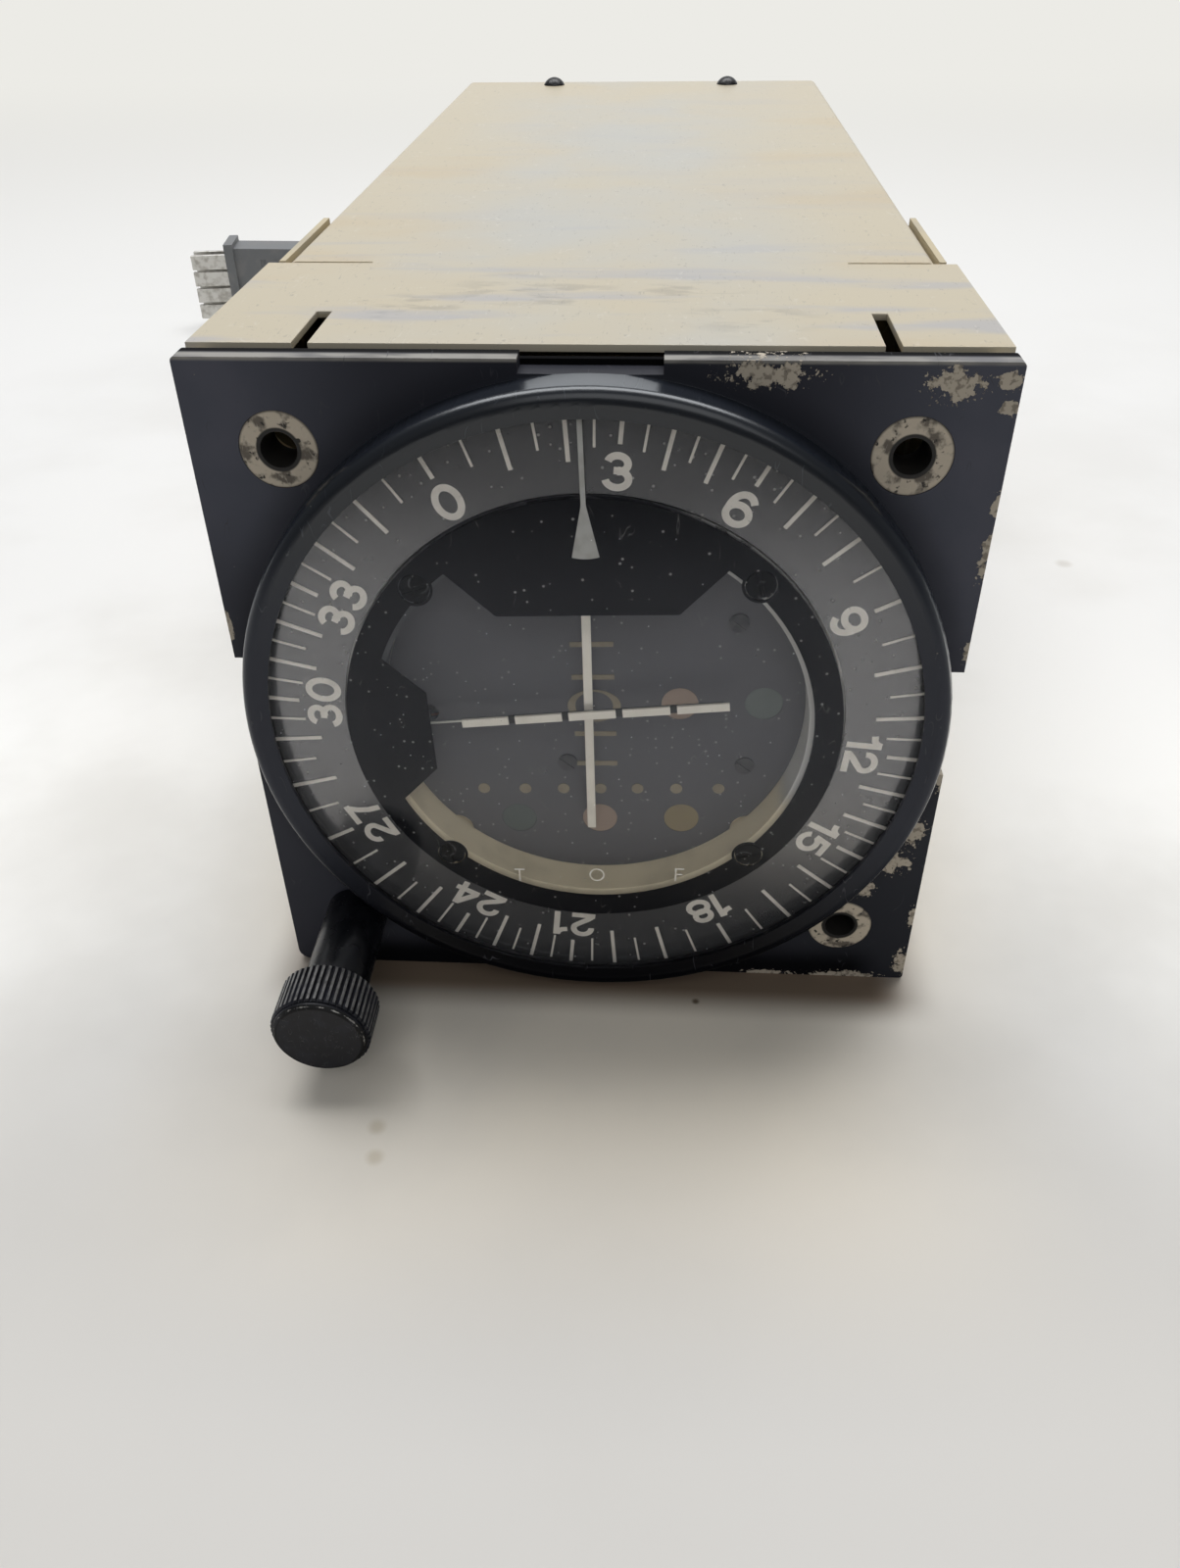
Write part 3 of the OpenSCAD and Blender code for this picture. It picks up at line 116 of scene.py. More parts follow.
# Centre line of the harness, from the grommet to the plug's clamp
LEAD_ROUTE = [
    (-0.0200, 0.1951, -0.0300), (-0.0200, 0.2000, -0.0301), (-0.0200, 0.2060, -0.0306),
    (-0.0200, 0.2170, -0.0327), (-0.0200, 0.2280, -0.0353), (-0.0201, 0.2385, -0.0370),
    (-0.0219, 0.2508, -0.0374), (-0.0261, 0.2620, -0.0374), (-0.0327, 0.2726, -0.0374),
    (-0.0414, 0.2817, -0.0371), (-0.0518, 0.2887, -0.0358), (-0.0635, 0.2934, -0.0333),
    (-0.0758, 0.2956, -0.0302), (-0.0821, 0.2956, -0.0288), (-0.0884, 0.2951, -0.0279),
    (-0.09439, 0.29425, -0.02735),
]


def tint(red, green, blue):
    """A colour given as 0 to 255 steps of the screen, as Blender's linear numbers."""
    steps = [c / 255 for c in (red, green, blue)]
    return tuple(c / 12.92 if c <= 0.04045 else ((c + 0.055) / 1.055) ** 2.4 for c in steps)


# Settings


def colour(name, description, steps):
    """A colour property, its default given as 0 to 255 steps of the screen."""
    return FloatVectorProperty(
        name=name, description=description, subtype="COLOR", size=3, min=0, max=1, default=tint(*steps)
    )


def measure(name, description, usual, least, most):
    """A length property, its values given in millimetres."""
    return FloatProperty(
        name=name, description=description, unit="LENGTH", subtype="DISTANCE",
        default=usual * MM, min=least * MM, max=most * MM
    )


class IndicatorSizes(bpy.types.PropertyGroup):
    """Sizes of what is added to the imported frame."""

    casting_round: measure(
        "Casting rounding", "Radius on the bezel's edges",
        0.25, 0, 1)
    sheet_round: measure(
        "Sheet rounding", "Radius on the sheet metal's cut edges",
        0.12, 0, 0.4)
    numeral_height: measure(
        "Numeral height", "Height of the card's numerals",
        4.0, 1, 5)
    numeral_radius: measure(
        "Numeral radius", "Distance of the numerals' middle from the card's centre",
        30.6, 29, 33)
    card_turn: FloatProperty(
        name="Card turn", description="Dial angle of the card's zero at rest, clockwise from the top",
        default=math.radians(-27.85), unit="ROTATION", subtype="ANGLE")
    letter_height: measure(
        "Letter height", "Height of the three letters under the flag lamps",
        2.1, 1, 4)
    lead_diameter: measure(
        "Harness diameter", "Outside diameter of the harness",
        6.4, 2, 10)


class IndicatorColours(bpy.types.PropertyGroup):
    """Colours of the finishes that show most."""

    enamel: colour("Enamel", "Black enamel of the bezel", (81, 83, 93))
    bare: colour("Bare metal", "Metal under the chipped enamel", (186, 176, 160))
    chromate: colour("Chromate", "Yellow passivation of the covers", (186, 175, 150))
    bloom: colour("Bloom", "Greyish bloom on the covers", (178, 177, 170))
    card: colour("Card", "Satin grey of the course card", (130, 130, 132))
    marks: colour("Marks", "Worn print of the card's marks", (240, 234, 224))
    face: colour("Face", "Dark paint of the meter face", (101, 101, 106))
    needles: colour("Needles", "White paint of both needles", (250, 243, 230))
    housing: colour("Housing", "Khaki finish of the meter housing", (240, 226, 196))
    floor: colour("Floor", "Pale table", (213, 210, 205))


# Shared mesh steps


def pick(obj):
    """Leaves obj as the only selected object, and active."""
    bpy.ops.object.select_all(action="DESELECT")
    obj.select_set(True)
    bpy.context.view_layer.objects.active = obj


def bake_place(obj):
    """Applies an object's place, turn and scale to its mesh."""
    pick(obj)
    bpy.ops.object.transform_apply(location=True, rotation=True, scale=True)


def finish_piece(obj, body, material, slot, *replaced):
    """Gives a piece its material and the body it rides on, and hides the nodes it stands for."""
    obj.data.materials.clear()
    obj.data.materials.append(material)
    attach(obj, body)
    if replaced:
        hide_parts(*replaced)


def dressed_copy(node, name, material, width, segments, corner=35):
    """Adds a copy of a CAD node with joined faces and rounded edges, in the node's place."""
    source = frame["nodes"][node]
    obj = source.copy()
    obj.data = source.data.copy()
    obj.name = obj.data.name = name
    for key in list(obj.keys()):
        if key.startswith("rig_"):
            del obj[key]
    bpy.context.collection.objects.link(obj)
    obj.parent = None
    obj.matrix_world = Matrix.Identity(4)
    obj.hide_render = obj.hide_viewport = False
    pick(obj)
    bpy.ops.object.mode_set(mode="EDIT")
    bpy.ops.mesh.select_all(action="SELECT")
    bpy.ops.mesh.customdata_custom_splitnormals_clear()
    bpy.ops.mesh.remove_doubles(threshold=MERGE_DISTANCE)
    bpy.ops.mesh.dissolve_limited(angle_limit=FLAT_ANGLE)
    bpy.ops.object.mode_set(mode="OBJECT")
    if width:
        edge = obj.modifiers.new("Rounded edges", "BEVEL")
        edge.width = width
        edge.segments = segments
        edge.limit_method = "ANGLE"
        edge.angle_limit = math.radians(corner)
        edge.use_clamp_overlap = True
        bpy.ops.object.modifier_apply(modifier=edge.name)
    bpy.ops.object.shade_smooth_by_angle(angle=math.radians(corner))
    flat = obj.modifiers.new("Flat faces", "WEIGHTED_NORMAL")
    flat.keep_sharp = True
    bpy.ops.object.modifier_apply(modifier=flat.name)
    finish_piece(obj, BODY_OF[node], material, SLOT_OF[node], node)


def arc(x, y, reach_x, reach_y, start, end):
    """Points along part of an ellipse, its angles in degrees."""
    count = max(6, int(abs(end - start) / 10))
    turns = [math.radians(start + (end - start) * i / count) for i in range(count + 1)]
    return [(x + reach_x * math.cos(a), y + reach_y * math.sin(a)) for a in turns]


# Pen strokes of the numerals and letters, in parts of their height, the middle at 0, 0
SIX = [arc(0, -0.155, 0.3, 0.255, 0, 360),
       [(-0.3, -0.155), *arc(0.01, 0.02, 0.31, 0.39, 180, 38)]]
STROKES = {
    "0": [arc(0, 0, 0.305, 0.41, 0, 360)],
    "1": [[(0.13, -0.5), (0.13, 0.5)], [(-0.22, 0.245), (-0.06, 0.27), (0.04, 0.34), (0.1, 0.47)]],
    "2": [[*arc(0, 0.16, 0.28, 0.25, 190, -28),
           (0.06, -0.1), (-0.14, -0.24), (-0.25, -0.34), (-0.28, -0.46)],
          [(-0.37, -0.41), (0.37, -0.41)]],
    "3": [arc(-0.01, 0.205, 0.25, 0.205, 168, -90), arc(0, -0.185, 0.29, 0.225, 90, -168),
          [(-0.1, 0.025), (0.02, 0.025)]],
    "4": [[(0.16, -0.5), (0.16, 0.5)], [(0.13, 0.43), (-0.31, -0.15)], [(-0.39, -0.19), (0.39, -0.19)]],
    "5": [[(0.32, 0.41), (-0.26, 0.41)], [(-0.18, 0.48), (-0.26, -0.03)],
          arc(0, -0.14, 0.29, 0.27, 145, -165)],
    "6": SIX,
    "7": [[(-0.37, 0.41), (0.37, 0.41)], [(0.29, 0.42), (0.1, 0.14), (-0.03, -0.16), (-0.09, -0.5)]],
    "8": [arc(0, 0.205, 0.245, 0.205, 0, 360), arc(0, -0.18, 0.3, 0.23, 0, 360)],
    "9": [[(-x, -y) for x, y in stroke] for stroke in SIX],
    "T": [[(-0.3, 0.44), (0.3, 0.44)], [(0, -0.5), (0, 0.44)]],
    "O": [arc(0, 0, 0.4, 0.44, 0, 360)],
    "F": [[(-0.2, -0.5), (-0.2, 0.5)], [(-0.2, 0.44), (0.28, 0.44)], [(-0.2, 0.03), (0.2, 0.03)]],
}
# Widths, the gap between letters and the rise of each stroke over the last, in parts of their height
GLYPH_WIDE = {"1": 0.46}
GLYPH_USUAL = 0.79
GLYPH_GAP = 0.08
STROKE_RISE = 0.002
# Widths of the pen, in parts of the height
NUMERAL_PEN = 0.19
LETTER_PEN = 0.1
# The letters under the flag lamps, with x and z of each one's middle in millimetres
FLAG_LETTERS = (("T", -9.3, -21.8), ("O", 0.3, -21.4), ("F", 10.4, -21.0))


def flat_line(name, points):
    """A curve of flat pen strokes, each a hair above the last, so that none lies in another's face."""
    data = bpy.data.curves.new(name, "CURVE")
    data.dimensions = "3D"
    obj = bpy.data.objects.new(name, data)
    bpy.context.collection.objects.link(obj)
    for rank, line in enumerate(points):
        spline = data.splines.new("POLY")
        spline.points.add(len(line) - 1)
        for point, place in zip(spline.points, line):
            point.co = (*place, STROKE_RISE * rank, 1.0)
    return obj


def lettering(text, name, height, place, turn, pen):
    """Flat lettering that faces the pilot, its middle at place before it turns about the Y axis."""
    wide = [GLYPH_WIDE.get(letter, GLYPH_USUAL) for letter in text]
    left = -(sum(wide) + GLYPH_GAP * (len(text) - 1)) / 2
    lines = []
    for letter, width in zip(text, wide):
        lines += [[(x + left + width / 2, y) for x, y in stroke] for stroke in STROKES[letter]]
        left += width + GLYPH_GAP
    nib = flat_line("nib", [[(-pen / 2, 0), (pen / 2, 0)]])
    obj = flat_line(name, lines)
    obj.data.bevel_mode = "OBJECT"
    obj.data.bevel_object = nib
    obj.data.twist_mode = "Z_UP"
    pick(obj)
    bpy.ops.object.convert(target="MESH")
    obj = bpy.context.object
    obj.name = obj.data.name = name
    bpy.data.objects.remove(nib)
    if sum(face.normal.z for face in obj.data.polygons) < 0:
        bpy.ops.object.mode_set(mode="EDIT")
        bpy.ops.mesh.select_all(action="SELECT")
        bpy.ops.mesh.flip_normals()
        bpy.ops.object.mode_set(mode="OBJECT")
    spot = Matrix.Rotation(turn, 4, "Y") @ Matrix.Translation(place) @ Matrix.Rotation(math.pi / 2, 4, "X")
    obj.matrix_world = spot @ Matrix.Diagonal((height, height, height, 1))
    bake_place(obj)
    return obj


def join_as(pieces, name):
    """Joins the pieces into the first one, under a new name."""
    pick(pieces[0])
    for piece in pieces:
        piece.select_set(True)
    bpy.ops.object.join()
    pieces[0].name = pieces[0].data.name = name
    return pieces[0]


# Shader steps


def connect(tree, slot, value):
    """Links a wire or a socket to a slot, or sets the slot's own value."""
    if isinstance(value, Wire):
        value = value.socket
    if isinstance(value, bpy.types.NodeSocket):
        tree.links.new(value, slot)
    else:
        slot.default_value = value


class Wire:
    """A number in a material's node tree, so that a formula reads as one."""

    def __init__(self, tree, socket):
        self.tree, self.socket = tree, socket

    def _math(self, operation, *others):
        node = self.tree.nodes.new("ShaderNodeMath")
        node.operation = operation
        for slot, value in zip(node.inputs, (self, *others)):
            connect(self.tree, slot, value)
        return Wire(self.tree, node.outputs[0])

    def __add__(self, other):
        return self._math("ADD", other)

    def __sub__(self, other):
        return self._math("SUBTRACT", other)

    def __mul__(self, other):
        return self._math("MULTIPLY", other)

    def __truediv__(self, other):
        return self._math("DIVIDE", other)

    def __rsub__(self, other):
        return self._math("MULTIPLY", -1.0)._math("ADD", other)

    def abs(self):
        return self._math("ABSOLUTE")

    def sqrt(self):
        return self._math("SQRT")

    def max(self, other):
        return self._math("MAXIMUM", other)

    def above(self, level):
        """1 where the number is over the level, and 0 elsewhere."""
        return self._math("GREATER_THAN", level)

    def fade(self, start, end, low=0.0, high=1.0):
        """Runs smoothly from low at start to high at end."""
        node = self.tree.nodes.new("ShaderNodeMapRange")
        node.interpolation_type = "SMOOTHSTEP"
        for key, value in (("Value", self), ("From Min", start), ("From Max", end),
                           ("To Min", low), ("To Max", high)):
            connect(self.tree, node.inputs[key], value)
        return Wire(self.tree, node.outputs["Result"])


def make_group(name, **numbers):
    """A shader node group from a Vector and named numbers to a Mask: its tree, what it is given, and the
    mask's own socket."""
    tree = bpy.data.node_groups.new(name, "ShaderNodeTree")
    tree.interface.new_socket("Vector", in_out="INPUT", socket_type="NodeSocketVector")
    for label, default in numbers.items():
        socket = tree.interface.new_socket(label, in_out="INPUT", socket_type="NodeSocketFloat")
        socket.default_value = default
    tree.interface.new_socket("Mask", in_out="OUTPUT", socket_type="NodeSocketFloat")
    enter = tree.nodes.new("NodeGroupInput")
    leave = tree.nodes.new("NodeGroupOutput")
    given = {label: Wire(tree, enter.outputs[label]) for label in ("Vector", *numbers)}
    return tree, given, leave.inputs["Mask"]


def noise(tree, vector, scale, detail=3.0, rough=0.5):
    """Soft noise between 0 and 1 over a vector."""
    node = tree.nodes.new("ShaderNodeTexNoise")
    for key, value in (("Vector", vector), ("Scale", scale), ("Detail", detail), ("Roughness", rough)):
        connect(tree, node.inputs[key], value)
    return Wire(tree, node.outputs["Fac"])


def blotches_group():
    """Soft patches: where slow noise rises past Low, full at High."""
    tree, given, mask = make_group("Blotches", Scale=0.1, Detail=3.0, Low=0.45, High=0.6)
    cloud = noise(tree, given["Vector"], given["Scale"], given["Detail"])
    connect(tree, mask, cloud.fade(given["Low"], given["High"]))
    return tree


def scratches_group():
    """Thin broken lines: where stretched noise crosses its middle value."""
    tree, given, mask = make_group("Scratches", Scale=0.3, Width=0.01, Share=0.5)
    turn = tree.nodes.new("ShaderNodeMapping")
    turn.inputs["Rotation"].default_value = (0.4, 0.7, 1.1)
    turn.inputs["Scale"].default_value = (1.0, 0.12, 0.35)
    connect(tree, turn.inputs["Vector"], given["Vector"])
    line = noise(tree, turn.outputs["Vector"], given["Scale"], 2.0)
    thin = ((line - 0.5).abs() / given["Width"]).fade(1.0, 0.0)
    patch = noise(tree, given["Vector"], given["Scale"], 1.0)
    where = (patch - (1.0 - given["Share"])).fade(-0.05, 0.1)
    connect(tree, mask, thin * where)
    return tree


def specks_group():
    """Small round specks, a share of them kept."""
    tree, given, mask = make_group("Specks", Scale=1.0, Size=0.1, Share=0.3)
    cell = tree.nodes.new("ShaderNodeTexVoronoi")
    for key in ("Vector", "Scale"):
        connect(tree, cell.inputs[key], given[key])
    near = Wire(tree, cell.outputs["Distance"]) / given["Size"]
    split = tree.nodes.new("ShaderNodeSeparateColor")
    connect(tree, split.inputs[0], cell.outputs["Color"])
    kept = (given["Share"] - Wire(tree, split.outputs[0])).above(0.0)
    connect(tree, mask, near.fade(1.0, 0.55) * kept)
    return tree


def edge_wear_group():
    """Ragged wear that starts at distance 0 and dies out at Width."""
    tree, given, mask = make_group("Edge wear", Distance=1.0, Width=0.5, Scale=1.0, Share=0.5)
    rag = noise(tree, given["Vector"], given["Scale"], 6.0, 0.65)
    reach = given["Width"] * (rag - (0.75 - given["Share"] * 0.5)) * 6.0
    connect(tree, mask, (reach - given["Distance"]).fade(0.0, 0.06))
    return tree


GROUPS = {}


def group(label):
    """A node group by its name, built when it is first needed."""
    makers = {
        "Blotches": blotches_group, "Scratches": scratches_group,
        "Specks": specks_group, "Edge wear": edge_wear_group,
    }
    if label not in GROUPS:
        GROUPS[label] = makers[label]()
    return GROUPS[label]


class Finish:
    """One material: a Principled shader and the layers that feed it, in millimetres of the object."""

    def __init__(self, name, colour, rough, metal=0.0):
        self.material = bpy.data.materials.new(name)
        self.material.use_nodes = True
        self.tree = self.material.node_tree
        self.shader = self.tree.nodes["Principled BSDF"]
        self.feed("Metallic", metal)
        self.feed("Roughness", rough)
        place = self.tree.nodes.new("ShaderNodeTexCoord")
        scaled = self.tree.nodes.new("ShaderNodeVectorMath")
        scaled.operation = "SCALE"
        scaled.inputs["Scale"].default_value = 1000.0
        self.tree.links.new(place.outputs["Object"], scaled.inputs[0])
        self.mm = scaled.outputs[0]
        self.colour = (*colour, 1.0)
        self.rough = rough
        self.metal = metal
        self.height = None

    def feed(self, key, value):
        """Links one of the shader's inputs, or sets its own value."""
        connect(self.tree, self.shader.inputs[key], value)

    def axes(self, dx=0.0, dy=0.0, dz=0.0):
        """The place in millimetres, counted from a point."""
        node = self.tree.nodes.new("ShaderNodeSeparateXYZ")
        self.tree.links.new(self.mm, node.inputs[0])
        x, y, z = (Wire(self.tree, o) for o in node.outputs)
        return x - dx, y - dy, z - dz

    def stretched(self, sx, sy, sz):
        """The place in millimetres with each axis multiplied, so patterns grow long where it is small."""
        node = self.tree.nodes.new("ShaderNodeVectorMath")
        node.operation = "MULTIPLY"
        node.inputs[1].default_value = (sx, sy, sz)
        self.tree.links.new(self.mm, node.inputs[0])
        return node.outputs[0]

    def mask(self, label, vector=None, **values):
        """What a node group puts out, with its own values here."""
        node = self.tree.nodes.new("ShaderNodeGroup")
        node.node_tree = group(label)
        self.tree.links.new(vector or self.mm, node.inputs["Vector"])
        for key, value in values.items():
            connect(self.tree, node.inputs[key.capitalize()], value)
        return Wire(self.tree, node.outputs["Mask"])

    def over(self, mask, colour=None, rough=None, metal=None):
        """Lays another finish over this one where mask is 1."""
        if colour is not None:
            node = self.tree.nodes.new("ShaderNodeMix")
            node.data_type = "RGBA"
            # Inputs 6 and 7 and output 2 are the Mix node's colours
            for key, value in (("Factor", mask), (6, self.colour), (7, (*colour, 1.0))):
                connect(self.tree, node.inputs[key], value)
            self.colour = node.outputs[2]
        for name, new in (("rough", rough), ("metal", metal)):
            if new is None:
                continue
            node = self.tree.nodes.new("ShaderNodeMix")
            for key, value in (("Factor", mask), ("A", getattr(self, name)), ("B", new)):
                connect(self.tree, node.inputs[key], value)
            setattr(self, name, node.outputs["Result"])

    def raise_by(self, mask, amount):
        """Adds to the bump's height, in millimetres."""
        step = mask * amount
        self.height = step if self.height is None else self.height + step

    def grain(self, scale, amount):
        """Roughens the surface by an even grain, its height in millimetres."""
        self.raise_by(noise(self.tree, self.mm, scale, 4.0, 0.6), amount)

    def done(self):
        """Links the layers to the shader, and returns the material."""
        self.feed("Base Color", self.colour)
        self.feed("Roughness", self.rough)
        self.feed("Metallic", self.metal)
        if self.height is not None:
            bump = self.tree.nodes.new("ShaderNodeBump")
            bump.inputs["Distance"].default_value = MM
            bump.inputs["Strength"].default_value = 1.0
            connect(self.tree, bump.inputs["Height"], self.height)
            self.feed("Normal", bump.outputs["Normal"])
        return self.material

    def blend(self, other, mask):
        """Shows another shader node in this one's place where mask is 1."""
        mix = self.tree.nodes.new("ShaderNodeMixShader")
        for key, value in (("Fac", mask), (1, self.shader.outputs[0]), (2, other.outputs[0])):
            connect(self.tree, mix.inputs[key], value)
        connect(self.tree, self.tree.nodes["Material Output"].inputs["Surface"], mix.outputs[0])


# Finishes


# Dark smudges on the upper cover, x and y in millimetres
COVER_SMUDGES = ((-10.0, 24.0), (-4.0, 22.0), (9.0, 24.3), (16.0, 14.0), (-20.0, 17.0))


def near_spot(f, spots, reach):
    """1 near any of the spots, given as x, y, z in millimetres, and full in a fifth of the reach."""
    total = None
    for spot in spots:
        x, y, z = f.axes(*spot)
        far = (x * x + y * y + z * z).sqrt()
        mask = far.fade(reach, reach * 0.2)
        total = mask if total is None else total.max(mask)
    return total


# Where the flange has lost its enamel: x and z of each patch's middle, and its half width and height,
# in millimetres
BARE_PATCHES = (
    (16.6, 39.3, 5.6, 1.6), (34.4, 38.4, 3.4, 2.0), (39.6, 38.8, 1.5, 1.3), (40.0, 36.4, 1.3, 1.0),
    (40.6, 26.5, 0.9, 1.6), (40.6, 20.5, 1.1, 3.6), (40.6, 9.4, 0.9, 1.6), (40.6, -8.0, 0.8, 2.0),
    (38.4, -15.5, 1.8, 2.6), (36.8, -20.5, 2.6, 2.4), (33.4, -25.0, 2.2, 1.6), (40.6, -29.5, 1.0, 2.4),
    (40.2, -37.5, 1.4, 3.0), (33.0, -40.5, 5.5, 1.1), (23.0, -40.5, 4.0, 0.8), (-40.6, 11.0, 0.7, 2.4),
)


def lost_enamel(f, x, z):
    """Ragged chips in the bare patches, and a few small ones round them."""
    near = None
    for px, pz, half_x, half_z in BARE_PATCHES:
        u, v = (x - px) / half_x, (z - pz) / half_z
        here = (u * u + v * v).sqrt().fade(1.5, 0.2)
        near = here if near is None else near.max(here)
    large = (noise(f.tree, f.mm, 0.6, 6.0, 0.6) + near * 0.36 - 0.745).fade(0.0, 0.02)
    small = (noise(f.tree, f.mm, 2.2, 4.0, 0.6) + near.fade(0.0, 0.4) * 0.15 - 0.74).fade(0.0, 0.03)
    return large.max(small)


def flange_tones_and_shade(f, x, z, radius):
    """Random lighter patches in the flange's enamel, and painted shade: darker towards its middle, its
    bottom, its lower right, the lower part of its left edge and round the ring, and nearly black along its
    bottom edge.
    """
    f.over(f.mask("Blotches", scale=0.12, low=0.4, high=0.7), tint(86, 87, 97), 0.52)
    # Painted shade: the enamel darker towards the middle, the bottom, the lower right, the lower left edge
    # and round the ring, and nearly black along the bottom edge.
    f.over(x.abs().fade(39.0, 18.0), tint(50, 51, 59))
    f.over(z.fade(0.0, -34.0) * 0.8, tint(58, 59, 67))
    f.over(x.fade(14.0, 34.0) * z.fade(14.0, -12.0) * 0.65, tint(30, 32, 36))
    f.over(x.fade(-30.0, -38.0) * z.fade(27.0, 12.0) * 0.9, tint(58, 59, 67))
    f.over(radius.fade(43.5, 39.5) * 0.5, tint(36, 37, 43))
    f.over(z.fade(-34.0, -39.0) * x.abs().fade(38.5, 33.0), tint(11, 11, 15))


def ring_gloss_and_shade(f, y, z, radius):
    """Glossier enamel on the ring, darker on its upper part, which alone is coated, and nearly black
    towards its bottom as painted shade.
    """
    ring = radius.fade(39.9, 39.2) * y.fade(0.1, -0.1)
    f.over(ring, tint(58, 60, 68), 0.24)
    # Painted shade: the ring nearly black towards its bottom.
    f.over(ring * z.fade(-8.0, -34.0), tint(9, 9, 13))
    upper = ring * z.fade(6.0, 30.0)
    f.over(upper, tint(26, 28, 34))
    f.feed("Coat Weight", upper)
    f.feed("Coat Roughness", 0.28)
    f.feed("Coat Tint", (0.84, 0.93, 1.0, 1))


def top_edge_wear_and_glint(f, y, z):
    """The flange's upper side: a light line along its front edge, partly rubbed enamel and partly a painted
    highlight, and black further back.
    """
    top = z.fade(40.2, 40.5)
    patchy_line = f.mask("Blotches", vector=f.stretched(0.3, 1.0, 1.0), scale=0.5, low=0.3, high=0.6)
    # A light line along the front edge, partly rubbed enamel and partly a painted highlight.
    f.over(top * y.fade(1.9, 1.1) * (patchy_line * 0.6 + 0.4), tint(148, 145, 139), 0.45)
    f.over(top * y.fade(1.2, 2.0), tint(9, 9, 11), 0.95)


def ring_wear_and_glint(f, x, y, z, radius):
    """The ring's front edge rubbed above, and a light line along its right side, partly bare metal and
    partly a painted highlight.
    """
    crown = f.mask("Edge wear", distance=(y - RING_FRONT).abs(), width=0.06, scale=0.5, share=0.3)
    f.over(crown * radius.fade(36.8, 37.2) * z.fade(-4.0, 6.0) * 0.5, tint(150, 150, 148), 0.35)
    patchy = f.mask("Blotches", scale=0.3, low=0.35, high=0.6) * 0.7 + 0.3
    # A light line along the ring's right side, partly bare metal and partly a painted highlight.
    line = radius.fade(38.8, 39.0) * (y - RING_LINE).abs().fade(0.4, 0.26)
    f.over(line * x.fade(6.0, 22.0) * z.fade(20.0, 4.0) * patchy, tint(206, 205, 202), 0.4)


def black_enamel():
    """Semi-matt enamel on the flange, glossy on the ring, chipped along the flange's edges, with painted
    shade in its tones and painted highlights along its top edge and the ring's side.
    """
    tones = bpy.context.scene.indicator_colours
    f = Finish("black_enamel", tones.enamel, 0.48)
    f.feed("Specular IOR Level", 0.15)
    x, y, z = f.axes()
    radius = (x * x + z * z).sqrt()
    flange_tones_and_shade(f, x, z, radius)
    ring_gloss_and_shade(f, y, z, radius)
    top_edge_wear_and_glint(f, y, z)
    f.over(f.mask("Scratches", scale=0.35, width=0.008, share=0.4), tint(72, 72, 77), 0.5)
    f.over(f.mask("Specks", scale=0.5, size=0.06, share=0.16), tint(104, 100, 94), 0.6)
    front = y.fade(3.4, 2.9)
    edge = CASE_HALF - x.abs().max(z.abs()) + (y * 1.2).max(0.0)
    rim = f.mask("Edge wear", distance=edge, width=0.3, scale=0.5, share=0.36) * front
    f.over(rim * 0.75, tint(126, 122, 118), 0.5)
    chips = lost_enamel(f, x, z) * front * radius.fade(38.6, 39.4)
    f.over(chips, tones.bare, 0.6)
    stains = f.mask("Blotches", scale=1.6, detail=6.0, low=0.5, high=0.6)
    f.over(chips * stains * 0.7, tint(112, 104, 94), 0.6)
    ring_wear_and_glint(f, x, y, z, radius)
    f.raise_by(chips, -0.05)
    return f.done()


def chromate_sheet():
    """Yellow passivated sheet, greyer in its middle, with bluish streaks, smudges and fine scratches."""
    tones = bpy.context.scene.indicator_colours
    f = Finish("chromate_sheet", tones.chromate, 0.42, 0.1)
    x, y, _ = f.axes()
    along = f.stretched(0.5, 1.0, 1.0)
    cloud = f.mask("Blotches", scale=0.03, detail=5.0, low=0.3, high=0.68)
    f.over(x.abs().fade(36.0, 10.0) * cloud * 0.9, tones.bloom, 0.45)
    warm = f.mask("Blotches", vector=along, scale=0.06, detail=4.0, low=0.5, high=0.7)
    f.over(warm * x.abs().fade(0.0, 36.0) * 0.5, tint(184, 164, 127), 0.4)
    streak = f.mask("Blotches", vector=f.stretched(0.22, 1.0, 1.0), scale=0.16, detail=5.0,
                    low=0.52, high=0.68)
    f.over(streak * y.fade(70.0, 12.0, 0.12, 0.6), tint(156, 158, 168), 0.45)
    dirt = f.mask("Blotches", vector=f.stretched(0.4, 1.0, 1.0), scale=0.45, detail=6.0, low=0.5, high=0.64)
    smudges = near_spot(f, [(*spot, CASE_HALF) for spot in COVER_SMUDGES], 9.0)
    f.over(dirt * smudges * 0.28, tint(98, 97, 100), 0.6)
    f.over(f.mask("Scratches", scale=1.1, width=0.02, share=0.42) * 0.4, tint(112, 108, 101), 0.4)
    f.over(f.mask("Scratches", vector=along, scale=0.8, width=0.02, share=0.4) * 0.25,
           tint(208, 204, 194), 0.35)
    f.over(f.mask("Specks", scale=0.3, size=0.035, share=0.2) * 0.8, tint(94, 82, 64), 0.6)
    f.over(y.fade(4.75, 4.6) * 0.6, tint(214, 206, 186), 0.35)
    return f.done()


